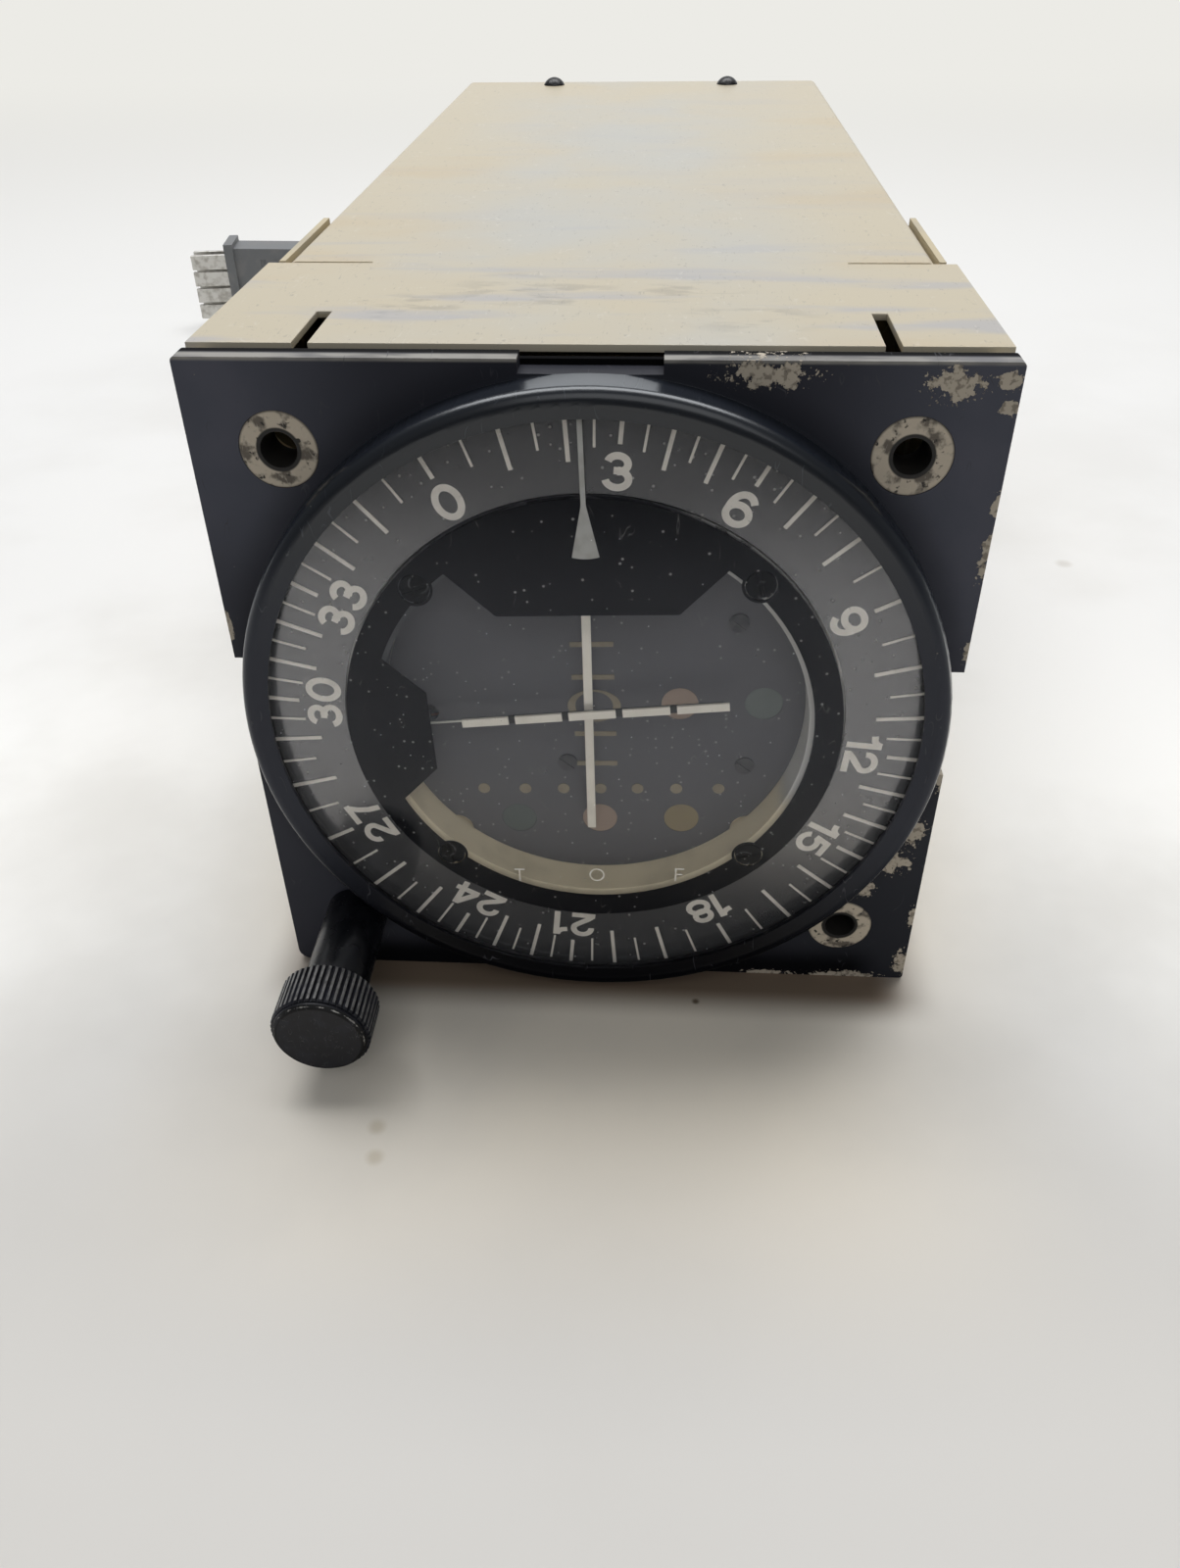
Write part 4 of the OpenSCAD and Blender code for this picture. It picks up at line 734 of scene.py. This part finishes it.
def knob_aluminium():
    """Black knob whose crests and rims are rubbed bright."""
    f = Finish("knob_aluminium", tint(22, 23, 29), 0.42)
    f.feed("Specular IOR Level", 0.35)
    x, y, z = f.axes(KNOB_X / MM, 0, KNOB_Z / MM)
    radius = (x * x + z * z).sqrt()
    patchy = f.mask("Blotches", scale=0.9, detail=5.0, low=0.3, high=0.6) * 0.6 + 0.4
    crest = radius.fade(5.9, KNOB_RADIUS) * patchy
    f.over(crest * y.fade(KNOB_FRONT, -21.6), tint(146, 145, 143), 0.35, 0.3)
    f.over(radius.fade(CAP_RADIUS, 5.05) * y.fade(-21.7, -21.85), tint(5, 5, 6), 0.6)
    lip = f.mask("Edge wear", distance=(KNOB_RADIUS - radius).max(0.0), width=0.16, scale=1.2, share=0.7)
    f.over(lip * y.fade(-21.5, -21.8), tint(150, 148, 144), 0.35, 0.4)
    rim = f.mask("Edge wear", distance=(y - KNOB_FRONT).abs(), width=0.1, scale=0.9, share=0.55)
    f.over(rim * radius.fade(4.9, 5.1), tint(160, 158, 154), 0.3, 0.6)
    f.over(f.mask("Blotches", scale=0.4, low=0.45, high=0.7) * 0.3, tint(46, 48, 60), 0.5)
    f.over(f.mask("Specks", scale=1.6, size=0.1, share=0.1), tint(84, 83, 82), 0.6)
    f.over(f.mask("Scratches", scale=1.2, width=0.015, share=0.5) * 0.5, tint(90, 90, 92), 0.4)
    f.grain(4.0, 0.006)
    return f.done()


def clear_pane(name, colour, rough, dust, mirrored):
    """Clear pane that lets the lamps' light in without a caustic; mirrored tints what its faces reflect."""
    f = Finish(name, colour, rough)
    f.over(f.mask("Blotches", scale=0.09, detail=5.0, low=0.5, high=0.75), None, rough + 0.06)
    f.over(f.mask("Specks", scale=0.7, size=0.07, share=dust), None, 0.5)
    f.feed("Transmission Weight", 1.0)
    f.feed("IOR", 1.49)
    f.feed("Specular Tint", mirrored)
    material = f.done()
    path = f.tree.nodes.new("ShaderNodeLightPath")
    through = f.tree.nodes.new("ShaderNodeBsdfTransparent")
    shadow = Wire(f.tree, path.outputs["Is Shadow Ray"])
    f.blend(through, shadow.max(Wire(f.tree, path.outputs["Is Diffuse Ray"])))
    return material


def patches(f, scale):
    """The patches in which a finish shows its second tone."""
    return f.mask("Blotches", scale=scale, detail=4.0, low=0.42, high=0.68)


def plain_finish(name, colour, rough, second, patch, metal=0.0, speck=None, scratch=None, grain=None,
                 lacquer=0.0):
    """A finish with patches of a second tone, and specks, scratches, grain and lacquer where given."""
    f = Finish(name, colour, rough, metal)
    if lacquer:
        f.feed("Coat Weight", lacquer)
        f.feed("Coat IOR", 2.4)
        f.feed("Coat Roughness", 0.2)
    f.over(patches(f, patch), second, rough + 0.08)
    if scratch:
        f.over(f.mask("Scratches", scale=patch * 3, width=0.012, share=0.5) * 0.6, scratch, rough)
    if speck:
        f.over(f.mask("Specks", scale=patch * 5, size=0.1, share=0.25), speck, rough + 0.15)
    if grain:
        f.grain(*grain)
    return f.done()


def dial_paint(name, colour, rough, cloud, metal=0.0):
    """Smooth dial paint with faint clouds, small grey dust and hairlines."""
    f = Finish(name, colour, rough, metal)
    f.feed("Specular IOR Level", 0.1)
    f.over(f.mask("Blotches", scale=0.06, detail=3.0, low=0.35, high=0.75) * 0.12, cloud)
    f.over(f.mask("Specks", scale=1.0, size=0.19, share=0.34) * 0.5, tint(190, 188, 183), 0.8, 0.0)
    f.over(f.mask("Scratches", scale=0.4, width=0.006, share=0.4) * 0.3, tint(176, 174, 170))
    return f.done()


def lamp_filter(name, colour, cloud, other, spot):
    """Dark colour filter of a flag lamp, faintly clouded; other is its colour near the spot."""
    f = Finish(name, colour, 0.35)
    f.over(near_spot(f, [spot], 6.0).fade(0.2, 0.5), other)
    f.over(f.mask("Blotches", scale=0.3, low=0.4, high=0.7) * 0.3, cloud, 0.4)
    return f.done()


def meter_case():
    """Khaki housing, painted like the face where its wall shows beside the face, and near white on the
    wall's right side as painted light.
    """
    tones = bpy.context.scene.indicator_colours
    f = Finish("meter_case", tones.housing, 0.55)
    x, y, z = f.axes()
    f.over(patches(f, 0.12) * 0.4, tint(184, 174, 150), 0.6)
    f.over(f.mask("Specks", scale=0.9, size=0.06, share=0.15), tint(110, 102, 86), 0.7)
    f.over(z.fade(-11.0, -6.0) * y.fade(3.4, 3.0), tones.face, 0.6)
    # Painted light: the wall's upper right side near white.
    f.over(z.fade(-12.0, -7.0) * x.fade(8.0, 12.0), tint(218, 217, 214), 0.6)
    return f.done()


def mask_screw_black():
    """Black screw heads in the mask, darker and glossier towards their middle, with a painted glint round
    each head and painted glints as light specks.
    """
    f = Finish("mask_screw", tint(15, 15, 18), 0.7)
    f.feed("Specular IOR Level", 0.08)
    x, _, z = f.axes()
    u, v = x.abs() - MASK_SCREW_OUT, z.abs() - MASK_SCREW_OUT
    radius = (u * u + v * v).sqrt()
    f.over(radius.fade(1.4, 1.25), tint(2, 2, 3), 0.5)
    # Painted highlight: a broken light ring round each head.
    glint_ring = (radius - 1.02).abs().fade(0.16, 0.06) * f.mask("Blotches", scale=0.8, low=0.45, high=0.6)
    f.over(glint_ring, tint(78, 78, 80))
    # Painted glints: light specks on the heads.
    f.over(f.mask("Specks", scale=2.2, size=0.3, share=0.3) * radius.fade(1.3, 1.0), tint(120, 119, 116))
    f.grain(2.6, 0.04)
    return f.done()


def arm_black():
    """Black arm, its bare part left of the bars lighter grey, with a painted highlight along its upper
    edge.
    """
    f = Finish("needle_black", tint(36, 36, 38), 0.5)
    x, _, z = f.axes(SLOPE_PIVOT[0] / MM, 0.0, SLOPE_PIVOT[2] / MM)
    across = z * math.cos(SLOPE_REST) - x * math.sin(SLOPE_REST)
    along = x * math.cos(SLOPE_REST) + z * math.sin(SLOPE_REST)
    bare = along.fade(BARS_FROM + 0.1, BARS_FROM - 0.2)
    f.over(patches(f, 0.6), tint(52, 52, 54), 0.58)
    f.over(bare, tint(84, 84, 88), 0.6)
    # Painted highlight along the upper edge of the bare part.
    f.over(bare * across.fade(0.06, 0.14), tint(226, 224, 216), 0.5)
    f.grain(2.0, 0.004)
    return f.done()


def coil_wire():
    """Copper winding whose front end, seen through the face's bore, is dark."""
    f = Finish("coil_copper", tint(176, 96, 52), 0.35, 0.7)
    _, y, _ = f.axes(0.0, SLOPE_COIL_BACK / MM - COIL_LENGTH, 0.0)
    f.over(patches(f, 2.0), tint(140, 70, 36), 0.43)
    f.over(f.mask("Scratches", scale=6.0, width=0.012, share=0.5) * 0.6, tint(210, 130, 84))
    f.over(y.fade(0.1, 0.0), tint(58, 58, 61), 0.7, 0.0)
    f.grain(6.0, 0.03)
    return f.done()


def eyelet_metal():
    """Dull beige eyelets, stained dark in patches and inside their bores."""
    f = Finish("bare_eyelet", tint(198, 186, 167), 0.55)
    x, _, z = f.axes()
    u, v = x.abs() - MOUNT_OUT, z.abs() - MOUNT_OUT
    radius = (u * u + v * v).sqrt()
    f.over(f.mask("Blotches", scale=0.5, detail=5.0, low=0.5, high=0.62), tint(104, 96, 86), 0.6)
    f.over(f.mask("Blotches", scale=1.1, detail=5.0, low=0.58, high=0.66), tint(48, 44, 41), 0.6)
    f.over(f.mask("Scratches", scale=1.2, width=0.03, share=0.5) * 0.5, tint(206, 196, 178), 0.5)
    f.over(radius.fade(2.4, 2.2), tint(38, 36, 34), 0.5)
    f.over(radius.fade(3.75, 4.0) * 0.7, tint(80, 74, 68), 0.5)
    return f.done()


def frame_sheet():
    """Passivated sheet of the frame, blacked where it lies behind the flange."""
    f = Finish("frame_sheet", tint(192, 179, 149), 0.45, 0.1)
    f.feed("Specular IOR Level", 0.1)
    x, y, _ = f.axes()
    f.over(patches(f, 0.08) * 0.6, tint(168, 162, 150), 0.5)
    f.over(y.fade(4.8, 4.7) * x.abs().fade(38.5, 38.0), tint(8, 8, 10), 0.95, 0.0)
    return f.done()


# What plain_finish is given for each finish that needs no function of its own
PLAIN_FINISHES = {
    "black_steel": dict(
        colour=tint(17, 17, 20), rough=0.35, second=tint(28, 28, 30), patch=0.8,
        speck=tint(84, 82, 80), grain=(2.0, 0.01)),
    "face_screw": dict(
        colour=tint(80, 81, 84), rough=0.5, second=tint(66, 67, 70), patch=0.9),
    "index_print": dict(
        colour=tint(188, 188, 184), rough=0.6, second=tint(176, 175, 170), patch=0.6),
    "faded_print": dict(
        colour=tint(250, 246, 238), rough=0.7, second=tint(236, 228, 212), patch=0.9),
    "bare_aluminium": dict(
        colour=tint(196, 196, 194), rough=0.32, metal=0.9, second=tint(170, 170, 168), patch=0.3,
        scratch=tint(220, 220, 218), grain=(1.0, 0.004)),
    "bearing_bronze": dict(
        colour=tint(186, 148, 88), rough=0.35, metal=0.9, second=tint(150, 112, 62), patch=0.5,
        scratch=tint(214, 184, 130), grain=(1.5, 0.006)),
    "zinc_screw": dict(
        colour=tint(188, 188, 182), rough=0.35, metal=0.85, second=tint(150, 148, 140), patch=0.7,
        speck=tint(110, 106, 98), scratch=tint(214, 214, 210), grain=(1.5, 0.006)),
    "face_print": dict(
        colour=tint(154, 144, 124), rough=0.6, second=tint(144, 134, 116), patch=0.9, grain=(2.0, 0.004)),
    "circuit_green": dict(
        colour=tint(60, 96, 52), rough=0.45, second=tint(48, 80, 42), patch=0.6,
        speck=tint(190, 186, 170), grain=(1.2, 0.006)),
    "magnet_steel": dict(
        colour=tint(130, 132, 136), rough=0.38, metal=0.8, second=tint(104, 106, 110), patch=0.5,
        speck=tint(84, 78, 70), scratch=tint(160, 162, 166), grain=(1.5, 0.006)),
    "sleeve_black": dict(
        colour=tint(13, 14, 18), rough=0.26, second=tint(18, 19, 23), patch=0.3,
        speck=tint(60, 60, 64), scratch=tint(34, 34, 40)),
    "shaft_steel": dict(
        colour=tint(186, 187, 190), rough=0.25, metal=0.95, second=tint(156, 157, 160), patch=0.8,
        scratch=tint(214, 214, 216), grain=(2.0, 0.003)),
    "gear_brass": dict(
        colour=tint(196, 164, 96), rough=0.3, metal=0.95, second=tint(164, 130, 70), patch=0.6,
        scratch=tint(226, 200, 140), grain=(2.0, 0.004)),
    "sensor_case": dict(
        colour=tint(46, 48, 50), rough=0.4, second=tint(62, 62, 62), patch=0.3,
        speck=tint(120, 118, 112), grain=(1.0, 0.02)),
    "inner_chromate": dict(
        colour=tint(196, 178, 138), rough=0.45, metal=0.35, second=tint(176, 170, 160), patch=0.08,
        speck=tint(112, 96, 72), scratch=tint(222, 212, 186), grain=(0.8, 0.015)),
    "circuit_brown": dict(
        colour=tint(134, 108, 60), rough=0.4, second=tint(112, 88, 46), patch=0.5,
        speck=tint(190, 186, 176), grain=(1.2, 0.01)),
    "capacitor_sleeve": dict(
        colour=tint(44, 66, 118), rough=0.3, second=tint(36, 54, 98), patch=0.4, grain=(1.0, 0.004)),
    "transformer_steel": dict(
        colour=tint(156, 156, 154), rough=0.35, metal=0.8, second=tint(128, 126, 120), patch=0.4,
        speck=tint(96, 90, 80), scratch=tint(190, 190, 188), grain=(1.0, 0.01)),
    "rubber_black": dict(
        colour=tint(28, 28, 29), rough=0.75, second=tint(44, 43, 42), patch=0.5,
        speck=tint(90, 86, 80), grain=(2.5, 0.02)),
    "lead_jacket": dict(
        colour=tint(34, 35, 37), rough=0.6, second=tint(46, 46, 47), patch=0.3,
        speck=tint(96, 92, 86), grain=(1.6, 0.02)),
    "plug_moulding": dict(
        colour=tint(104, 106, 108), rough=0.5, second=tint(116, 116, 116), patch=0.2,
        speck=tint(130, 126, 118), scratch=tint(104, 102, 98), grain=(1.2, 0.02)),
    "plug_metal": dict(
        colour=tint(206, 204, 198), rough=0.35, metal=0.8, second=tint(172, 168, 160), patch=0.5,
        speck=tint(110, 104, 94), scratch=tint(208, 206, 200), grain=(1.5, 0.008)),
}


def all_finishes():
    """Every slot's material, by the slot's name."""
    tones = bpy.context.scene.indicator_colours
    made = {
        "black_enamel": black_enamel(),
        "chromate_sheet": chromate_sheet(),
        "knob_aluminium": knob_aluminium(),
        "glass": clear_pane("glass", (0.98, 0.98, 0.98), 0.015, 0.25, (0.28, 0.30, 0.34, 1)),
        "clear_acrylic": clear_pane("clear_acrylic", (0.96, 0.96, 0.95), 0.03, 0.15, (0.12, 0.12, 0.13, 1)),
        "bulb_glass": clear_pane("bulb_glass", (0.98, 0.96, 0.92), 0.02, 0.0, (1, 1, 1, 1)),
        "bare_eyelet": eyelet_metal(),
        "mask_screw": mask_screw_black(),
        "mask_print": dial_paint("mask_print", tint(18, 18, 22), 0.6, tint(40, 40, 44)),
        "card_paint": dial_paint("card_paint", tones.card, 0.2, tint(150, 149, 149), 0.75),
        "face_paint": dial_paint("face_paint", tones.face, 0.62, tint(104, 104, 105)),
        "mark_print": plain_finish("mark_print", tones.marks, 0.6, tint(228, 222, 212), 0.5,
                                   speck=tint(120, 116, 110), lacquer=0.9),
        "needle_white": plain_finish("needle_white", tones.needles, 0.5, tint(240, 233, 220), 0.3,
                                     speck=tint(140, 130, 116), lacquer=0.9),
        "frame_sheet": frame_sheet(),
        "meter_case": meter_case(),
        "amber_lens": lamp_filter("amber_lens", tint(164, 144, 131), tint(140, 123, 112),
                                  tint(148, 135, 105), (10.4, 3.0, -16.1)),
        "green_lens": lamp_filter("green_lens", tint(87, 96, 96), tint(80, 88, 87),
                                  tint(108, 115, 114), (19.4, 3.0, 0.9)),
        "needle_black": arm_black(),
        "coil_copper": coil_wire(),
    }
    made.update({name: plain_finish(name, **given) for name, given in PLAIN_FINISHES.items()})
    return made


MATERIALS = {}


def material_of(slot):
    """A slot's material; all are made when the first is needed."""
    if not MATERIALS:
        MATERIALS.update(all_finishes())
    return MATERIALS[slot]


# Operators


class INDICATOR_OT_camera(bpy.types.Operator):
    """Stands the camera where the pilot's side is seen from above."""

    bl_idname = "indicator.camera"
    bl_label = "Camera"

    def execute(self, context):
        yaw, pitch, roll = CAMERA_YAW, CAMERA_PITCH, CAMERA_ROLL
        ahead = Vector((
            -math.sin(yaw) * math.cos(pitch), math.cos(yaw) * math.cos(pitch), -math.sin(pitch)))
        level = Vector((math.cos(yaw), math.sin(yaw), 0))
        upright = level.cross(ahead)
        right = level * math.cos(roll) + upright * math.sin(roll)
        up = upright * math.cos(roll) - level * math.sin(roll)
        data = bpy.data.cameras.new("camera")
        data.sensor_width = SENSOR
        data.lens = SENSOR * FOCAL_PIXELS / LONG_SIDE_PIXELS
        data.clip_start, data.clip_end = 0.005, 50
        camera = bpy.data.objects.new("camera", data)
        context.collection.objects.link(camera)
        turn = Matrix((right, up, -ahead)).transposed().to_4x4()
        camera.matrix_world = Matrix.Translation(Vector(CAMERA_PLACE) * MM) @ turn
        context.scene.camera = camera
        return {"FINISHED"}


class INDICATOR_OT_harness(bpy.types.Operator):
    """Lays the harness from the rear grommet to its plug."""

    bl_idname = "indicator.harness"
    bl_label = "Harness"

    def execute(self, context):
        diameter = context.scene.indicator_sizes.lead_diameter
        data = bpy.data.curves.new("harness", "CURVE")
        data.dimensions = "3D"
        data.bevel_depth = diameter / 2
        data.bevel_resolution = 6
        data.resolution_u = 6
        data.use_fill_caps = True
        line = data.splines.new("BEZIER")
        line.bezier_points.add(len(LEAD_ROUTE) - 1)
        for point, place in zip(line.bezier_points, LEAD_ROUTE):
            point.co = place
            point.handle_left_type = point.handle_right_type = "AUTO"
        harness = bpy.data.objects.new("harness", data)
        context.collection.objects.link(harness)
        context.view_layer.update()
        finish_piece(harness, "case", material_of("lead_jacket"), "lead_jacket", "harness_lead")
        return {"FINISHED"}


class INDICATOR_OT_stage(bpy.types.Operator):
    """Sets the pale table, the lamps and the room's light."""

    bl_idname = "indicator.stage"
    bl_label = "Stage"

    def execute(self, context):
        bpy.ops.object.select_all(action="DESELECT")
        bpy.ops.mesh.primitive_plane_add(size=TABLE_SIDE, location=(0, TABLE_MIDDLE, TABLE_Z))
        floor = context.object
        floor.name = "table"
        bake_place(floor)
        floor.data.materials.append(self.table_top(context.scene.indicator_colours))
        world = bpy.data.worlds.new("room")
        context.scene.world = world
        world.use_nodes = True
        world.node_tree.nodes["Background"].inputs["Color"].default_value = ROOM_LIGHT
        world.node_tree.nodes["Background"].inputs["Strength"].default_value = ROOM_STRENGTH
        for name, values in LAMPS.items():
            self.lamp(context, name, *values)
        context.scene.view_settings.view_transform = "Standard"
        return {"FINISHED"}

    def lamp(self, context, name, place, aim, size, power):
        """Hangs an area lamp at a place and points it at another."""
        data = bpy.data.lights.new(name, "AREA")
        data.shape = "RECTANGLE"
        data.size, data.size_y = size
        data.energy = power
        data.color = LAMP_LIGHT
        lamp = bpy.data.objects.new(name, data)
        lamp.location = place
        lamp.rotation_mode = "QUATERNION"
        lamp.rotation_quaternion = (Vector(aim) - Vector(place)).to_track_quat("-Z", "Y")
        context.collection.objects.link(lamp)

    def table_top(self, tones):
        """Pale table with painted light and shade in its zones, and stains; rays other than the camera's
        find it dark far in front, as a painted shadow, and mirrored rays find it darker near the
        instrument's foot, as painted shade.
        """
        f = Finish("table_top", tones.floor, 0.7)
        x, y, _ = f.axes()
        self.table_light_shade_and_stains(f, x, y)
        f.grain(0.4, 0.01)
        path = f.tree.nodes.new("ShaderNodeLightPath")
        camera = Wire(f.tree, path.outputs["Is Camera Ray"])
        mirrored = Wire(f.tree, path.outputs["Is Glossy Ray"])
        # Painted shadow: rays other than the camera's find the table dark far in front.
        f.over((1.0 - camera) * y.fade(-100.0, -175.0), tint(78, 78, 77))
        # Painted shade: mirrored rays find the table darker near the instrument's foot.
        near = mirrored * y.fade(-42.0, -14.0) * y.fade(60.0, 20.0)
        f.over(near * x.fade(-54.0, -40.0) * x.fade(70.0, 50.0), tint(62, 60, 57))
        material = f.done()
        glow = f.tree.nodes.new("ShaderNodeEmission")
        glow.inputs["Color"].default_value = (*tint(236, 235, 230), 1)
        seen = camera.max(mirrored).max(Wire(f.tree, path.outputs["Is Transmission Ray"]))
        f.blend(glow, seen * y.fade(150.0, 900.0))
        return material

    def table_light_shade_and_stains(self, f, x, y):
        """Painted light: lighter and warmer zones; soft clouds; a brown painted contact shadow under the
        flange; and the stains.
        """
        # Painted light: lighter beside and behind the flange, slightly darker further back, and a warm lift
        # of the shade in front.
        f.over(y.fade(-45.0, 10.0), tint(247, 246, 243))
        f.over(y.fade(20.0, 110.0), tint(232, 231, 229))
        f.over(x.abs().fade(64.0, 24.0) * y.fade(-60.0, -22.0) * y.fade(240.0, 190.0), tint(248, 239, 223))
        cloud = f.mask("Blotches", scale=0.014, detail=5.0, low=0.4, high=0.68) * y.fade(400.0, 0.0)
        f.over(cloud * 0.5, tint(205, 202, 196))
        # Painted contact shadow: a brown strip under the flange.
        f.over(x.abs().fade(46.0, 36.0) * y.fade(-9.0, -3.0) * y.fade(60.0, 30.0), tint(120, 104, 88))
        level = TABLE_Z / MM
        f.over(near_spot(f, [(92.6, 123.0, level)], 2.4) * 0.45, tint(186, 180, 170))
        f.over(near_spot(f, [(-24.6, -27.2, level), (-24.0, -31.4, level)], 1.5) * 0.4, tint(180, 164, 132))
        f.over(near_spot(f, [(13.2, -5.5, level)], 0.7), tint(96, 84, 70))


class INDICATOR_OT_frame_finishes(bpy.types.Operator):
    """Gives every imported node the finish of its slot."""

    bl_idname = "indicator.frame_finishes"
    bl_label = "Frame finishes"

    def execute(self, context):
        for name, node in frame["nodes"].items():
            material = material_of("face_screw" if name == "face_screws" else SLOT_OF[name])
            if not node.material_slots:
                node.data.materials.append(material)
            for slot in node.material_slots:
                slot.material = material
        return {"FINISHED"}


class INDICATOR_OT_bezel(bpy.types.Operator):
    """Rounds the bezel casting, the mask screws and the eyelets."""

    bl_idname = "indicator.bezel"
    bl_label = "Bezel"

    def execute(self, context):
        sizes = context.scene.indicator_sizes
        dressed_copy("bezel", "bezel_casting", material_of("black_enamel"), sizes.casting_round, 3)
        dressed_copy("mask_screws", "mask_screw_heads", material_of("mask_screw"), 0.2 * MM, 3)
        dressed_copy("mounting_eyelets", "eyelet_rims", material_of("bare_eyelet"), sizes.sheet_round, 2)
        return {"FINISHED"}


class INDICATOR_OT_knob(bpy.types.Operator):
    """Rounds the knob, its cap and its sleeve."""

    bl_idname = "indicator.knob"
    bl_label = "Knob"

    def execute(self, context):
        dressed_copy("course_knob", "knob_grip", material_of("knob_aluminium"), 0.05 * MM, 1, 25)
        dressed_copy("knob_cap", "knob_face", material_of("knob_aluminium"), 0.12 * MM, 2, 25)
        dressed_copy("knob_sleeve", "shaft_sleeve", material_of("sleeve_black"), 0.3 * MM, 3)
        return {"FINISHED"}


class INDICATOR_OT_covers(bpy.types.Operator):
    """Rounds the covers, the rear plate, the frame's sheet edges and the cover screws."""

    bl_idname = "indicator.covers"
    bl_label = "Covers"

    def execute(self, context):
        rounding = context.scene.indicator_sizes.sheet_round
        for node, name in (("top_cover", "upper_cover"), ("bottom_cover", "lower_cover"),
                           ("rear_plate", "closing_plate")):
            dressed_copy(node, name, material_of(SLOT_OF[node]), rounding, 2)
        dressed_copy("front_frame", "folded_frame", material_of("frame_sheet"), rounding, 2)
        dressed_copy("cover_screws", "cover_screw_heads", material_of("black_steel"), 0.15 * MM, 2)
        return {"FINISHED"}


class INDICATOR_OT_dial(bpy.types.Operator):
    """Prints the numerals on the card and the letters under the flag lamps."""

    bl_idname = "indicator.dial"
    bl_label = "Dial"

    def execute(self, context):
        sizes = context.scene.indicator_sizes
        numerals = []
        for step in range(12):
            quarter = step // 3
            slope = math.tan(math.radians(30 * step) - math.radians(90) * quarter)
            angle = math.radians(90) * (quarter + slope / (1 + slope)) + sizes.card_turn
            numerals.append(lettering(
                str(3 * step), f"numeral_{3 * step}", sizes.numeral_height,
                Vector((0, CARD_FRONT - PRINT_GAP, sizes.numeral_radius)), angle, NUMERAL_PEN))
        finish_piece(join_as(numerals, "card_numerals"), "card", material_of("mark_print"), "mark_print")
        letters = []
        for text, x, z in FLAG_LETTERS:
            letters.append(lettering(
                text, f"letter_{text}", sizes.letter_height,
                Vector((x * MM, MASK_FRONT - PRINT_GAP, z * MM)), 0.0, LETTER_PEN))
        finish_piece(join_as(letters, "flag_letters"), "case", material_of("faded_print"), "mark_print")
        return {"FINISHED"}


class INDICATOR_OT_plug(bpy.types.Operator):
    """Rounds the harness plug, its blades and its clamp."""

    bl_idname = "indicator.plug"
    bl_label = "Plug"

    def execute(self, context):
        for node, name, rounding in (("plug_body", "plug_shell", 0.5),
                                     ("plug_blades", "plug_contacts", 0.15),
                                     ("plug_clamp", "plug_strap", 0.4)):
            dressed_copy(node, name, material_of(SLOT_OF[node]), rounding * MM, 3)
        return {"FINISHED"}


class INDICATOR_PT_steps(bpy.types.Panel):
    """Lists the indicator's steps in the order in which they run."""

    bl_idname = "INDICATOR_PT_steps"
    bl_label = "Navigation Indicator"
    bl_space_type = "VIEW_3D"
    bl_region_type = "UI"
    bl_category = "Indicator"

    def draw(self, context):
        for step in STEPS:
            self.layout.operator(step.bl_idname)
        for group_of in (context.scene.indicator_sizes, context.scene.indicator_colours):
            box = self.layout.box()
            for name in group_of.bl_rna.properties.keys():
                if name not in ("rna_type", "name"):
                    box.prop(group_of, name)


STEPS = (
    INDICATOR_OT_camera, INDICATOR_OT_stage, INDICATOR_OT_frame_finishes, INDICATOR_OT_bezel,
    INDICATOR_OT_knob, INDICATOR_OT_covers, INDICATOR_OT_dial, INDICATOR_OT_plug, INDICATOR_OT_harness,
)
CLASSES = (IndicatorSizes, IndicatorColours, *STEPS, INDICATOR_PT_steps)


def register():
    for cls in CLASSES:
        bpy.utils.register_class(cls)
    bpy.types.Scene.indicator_sizes = PointerProperty(type=IndicatorSizes)
    bpy.types.Scene.indicator_colours = PointerProperty(type=IndicatorColours)


def unregister():
    del bpy.types.Scene.indicator_colours
    del bpy.types.Scene.indicator_sizes
    for cls in reversed(CLASSES):
        bpy.utils.unregister_class(cls)


def main():
    register()
    for step in STEPS:
        family, verb = step.bl_idname.split(".")
        getattr(getattr(bpy.ops, family), verb)()


if __name__ == "__main__":
    main()
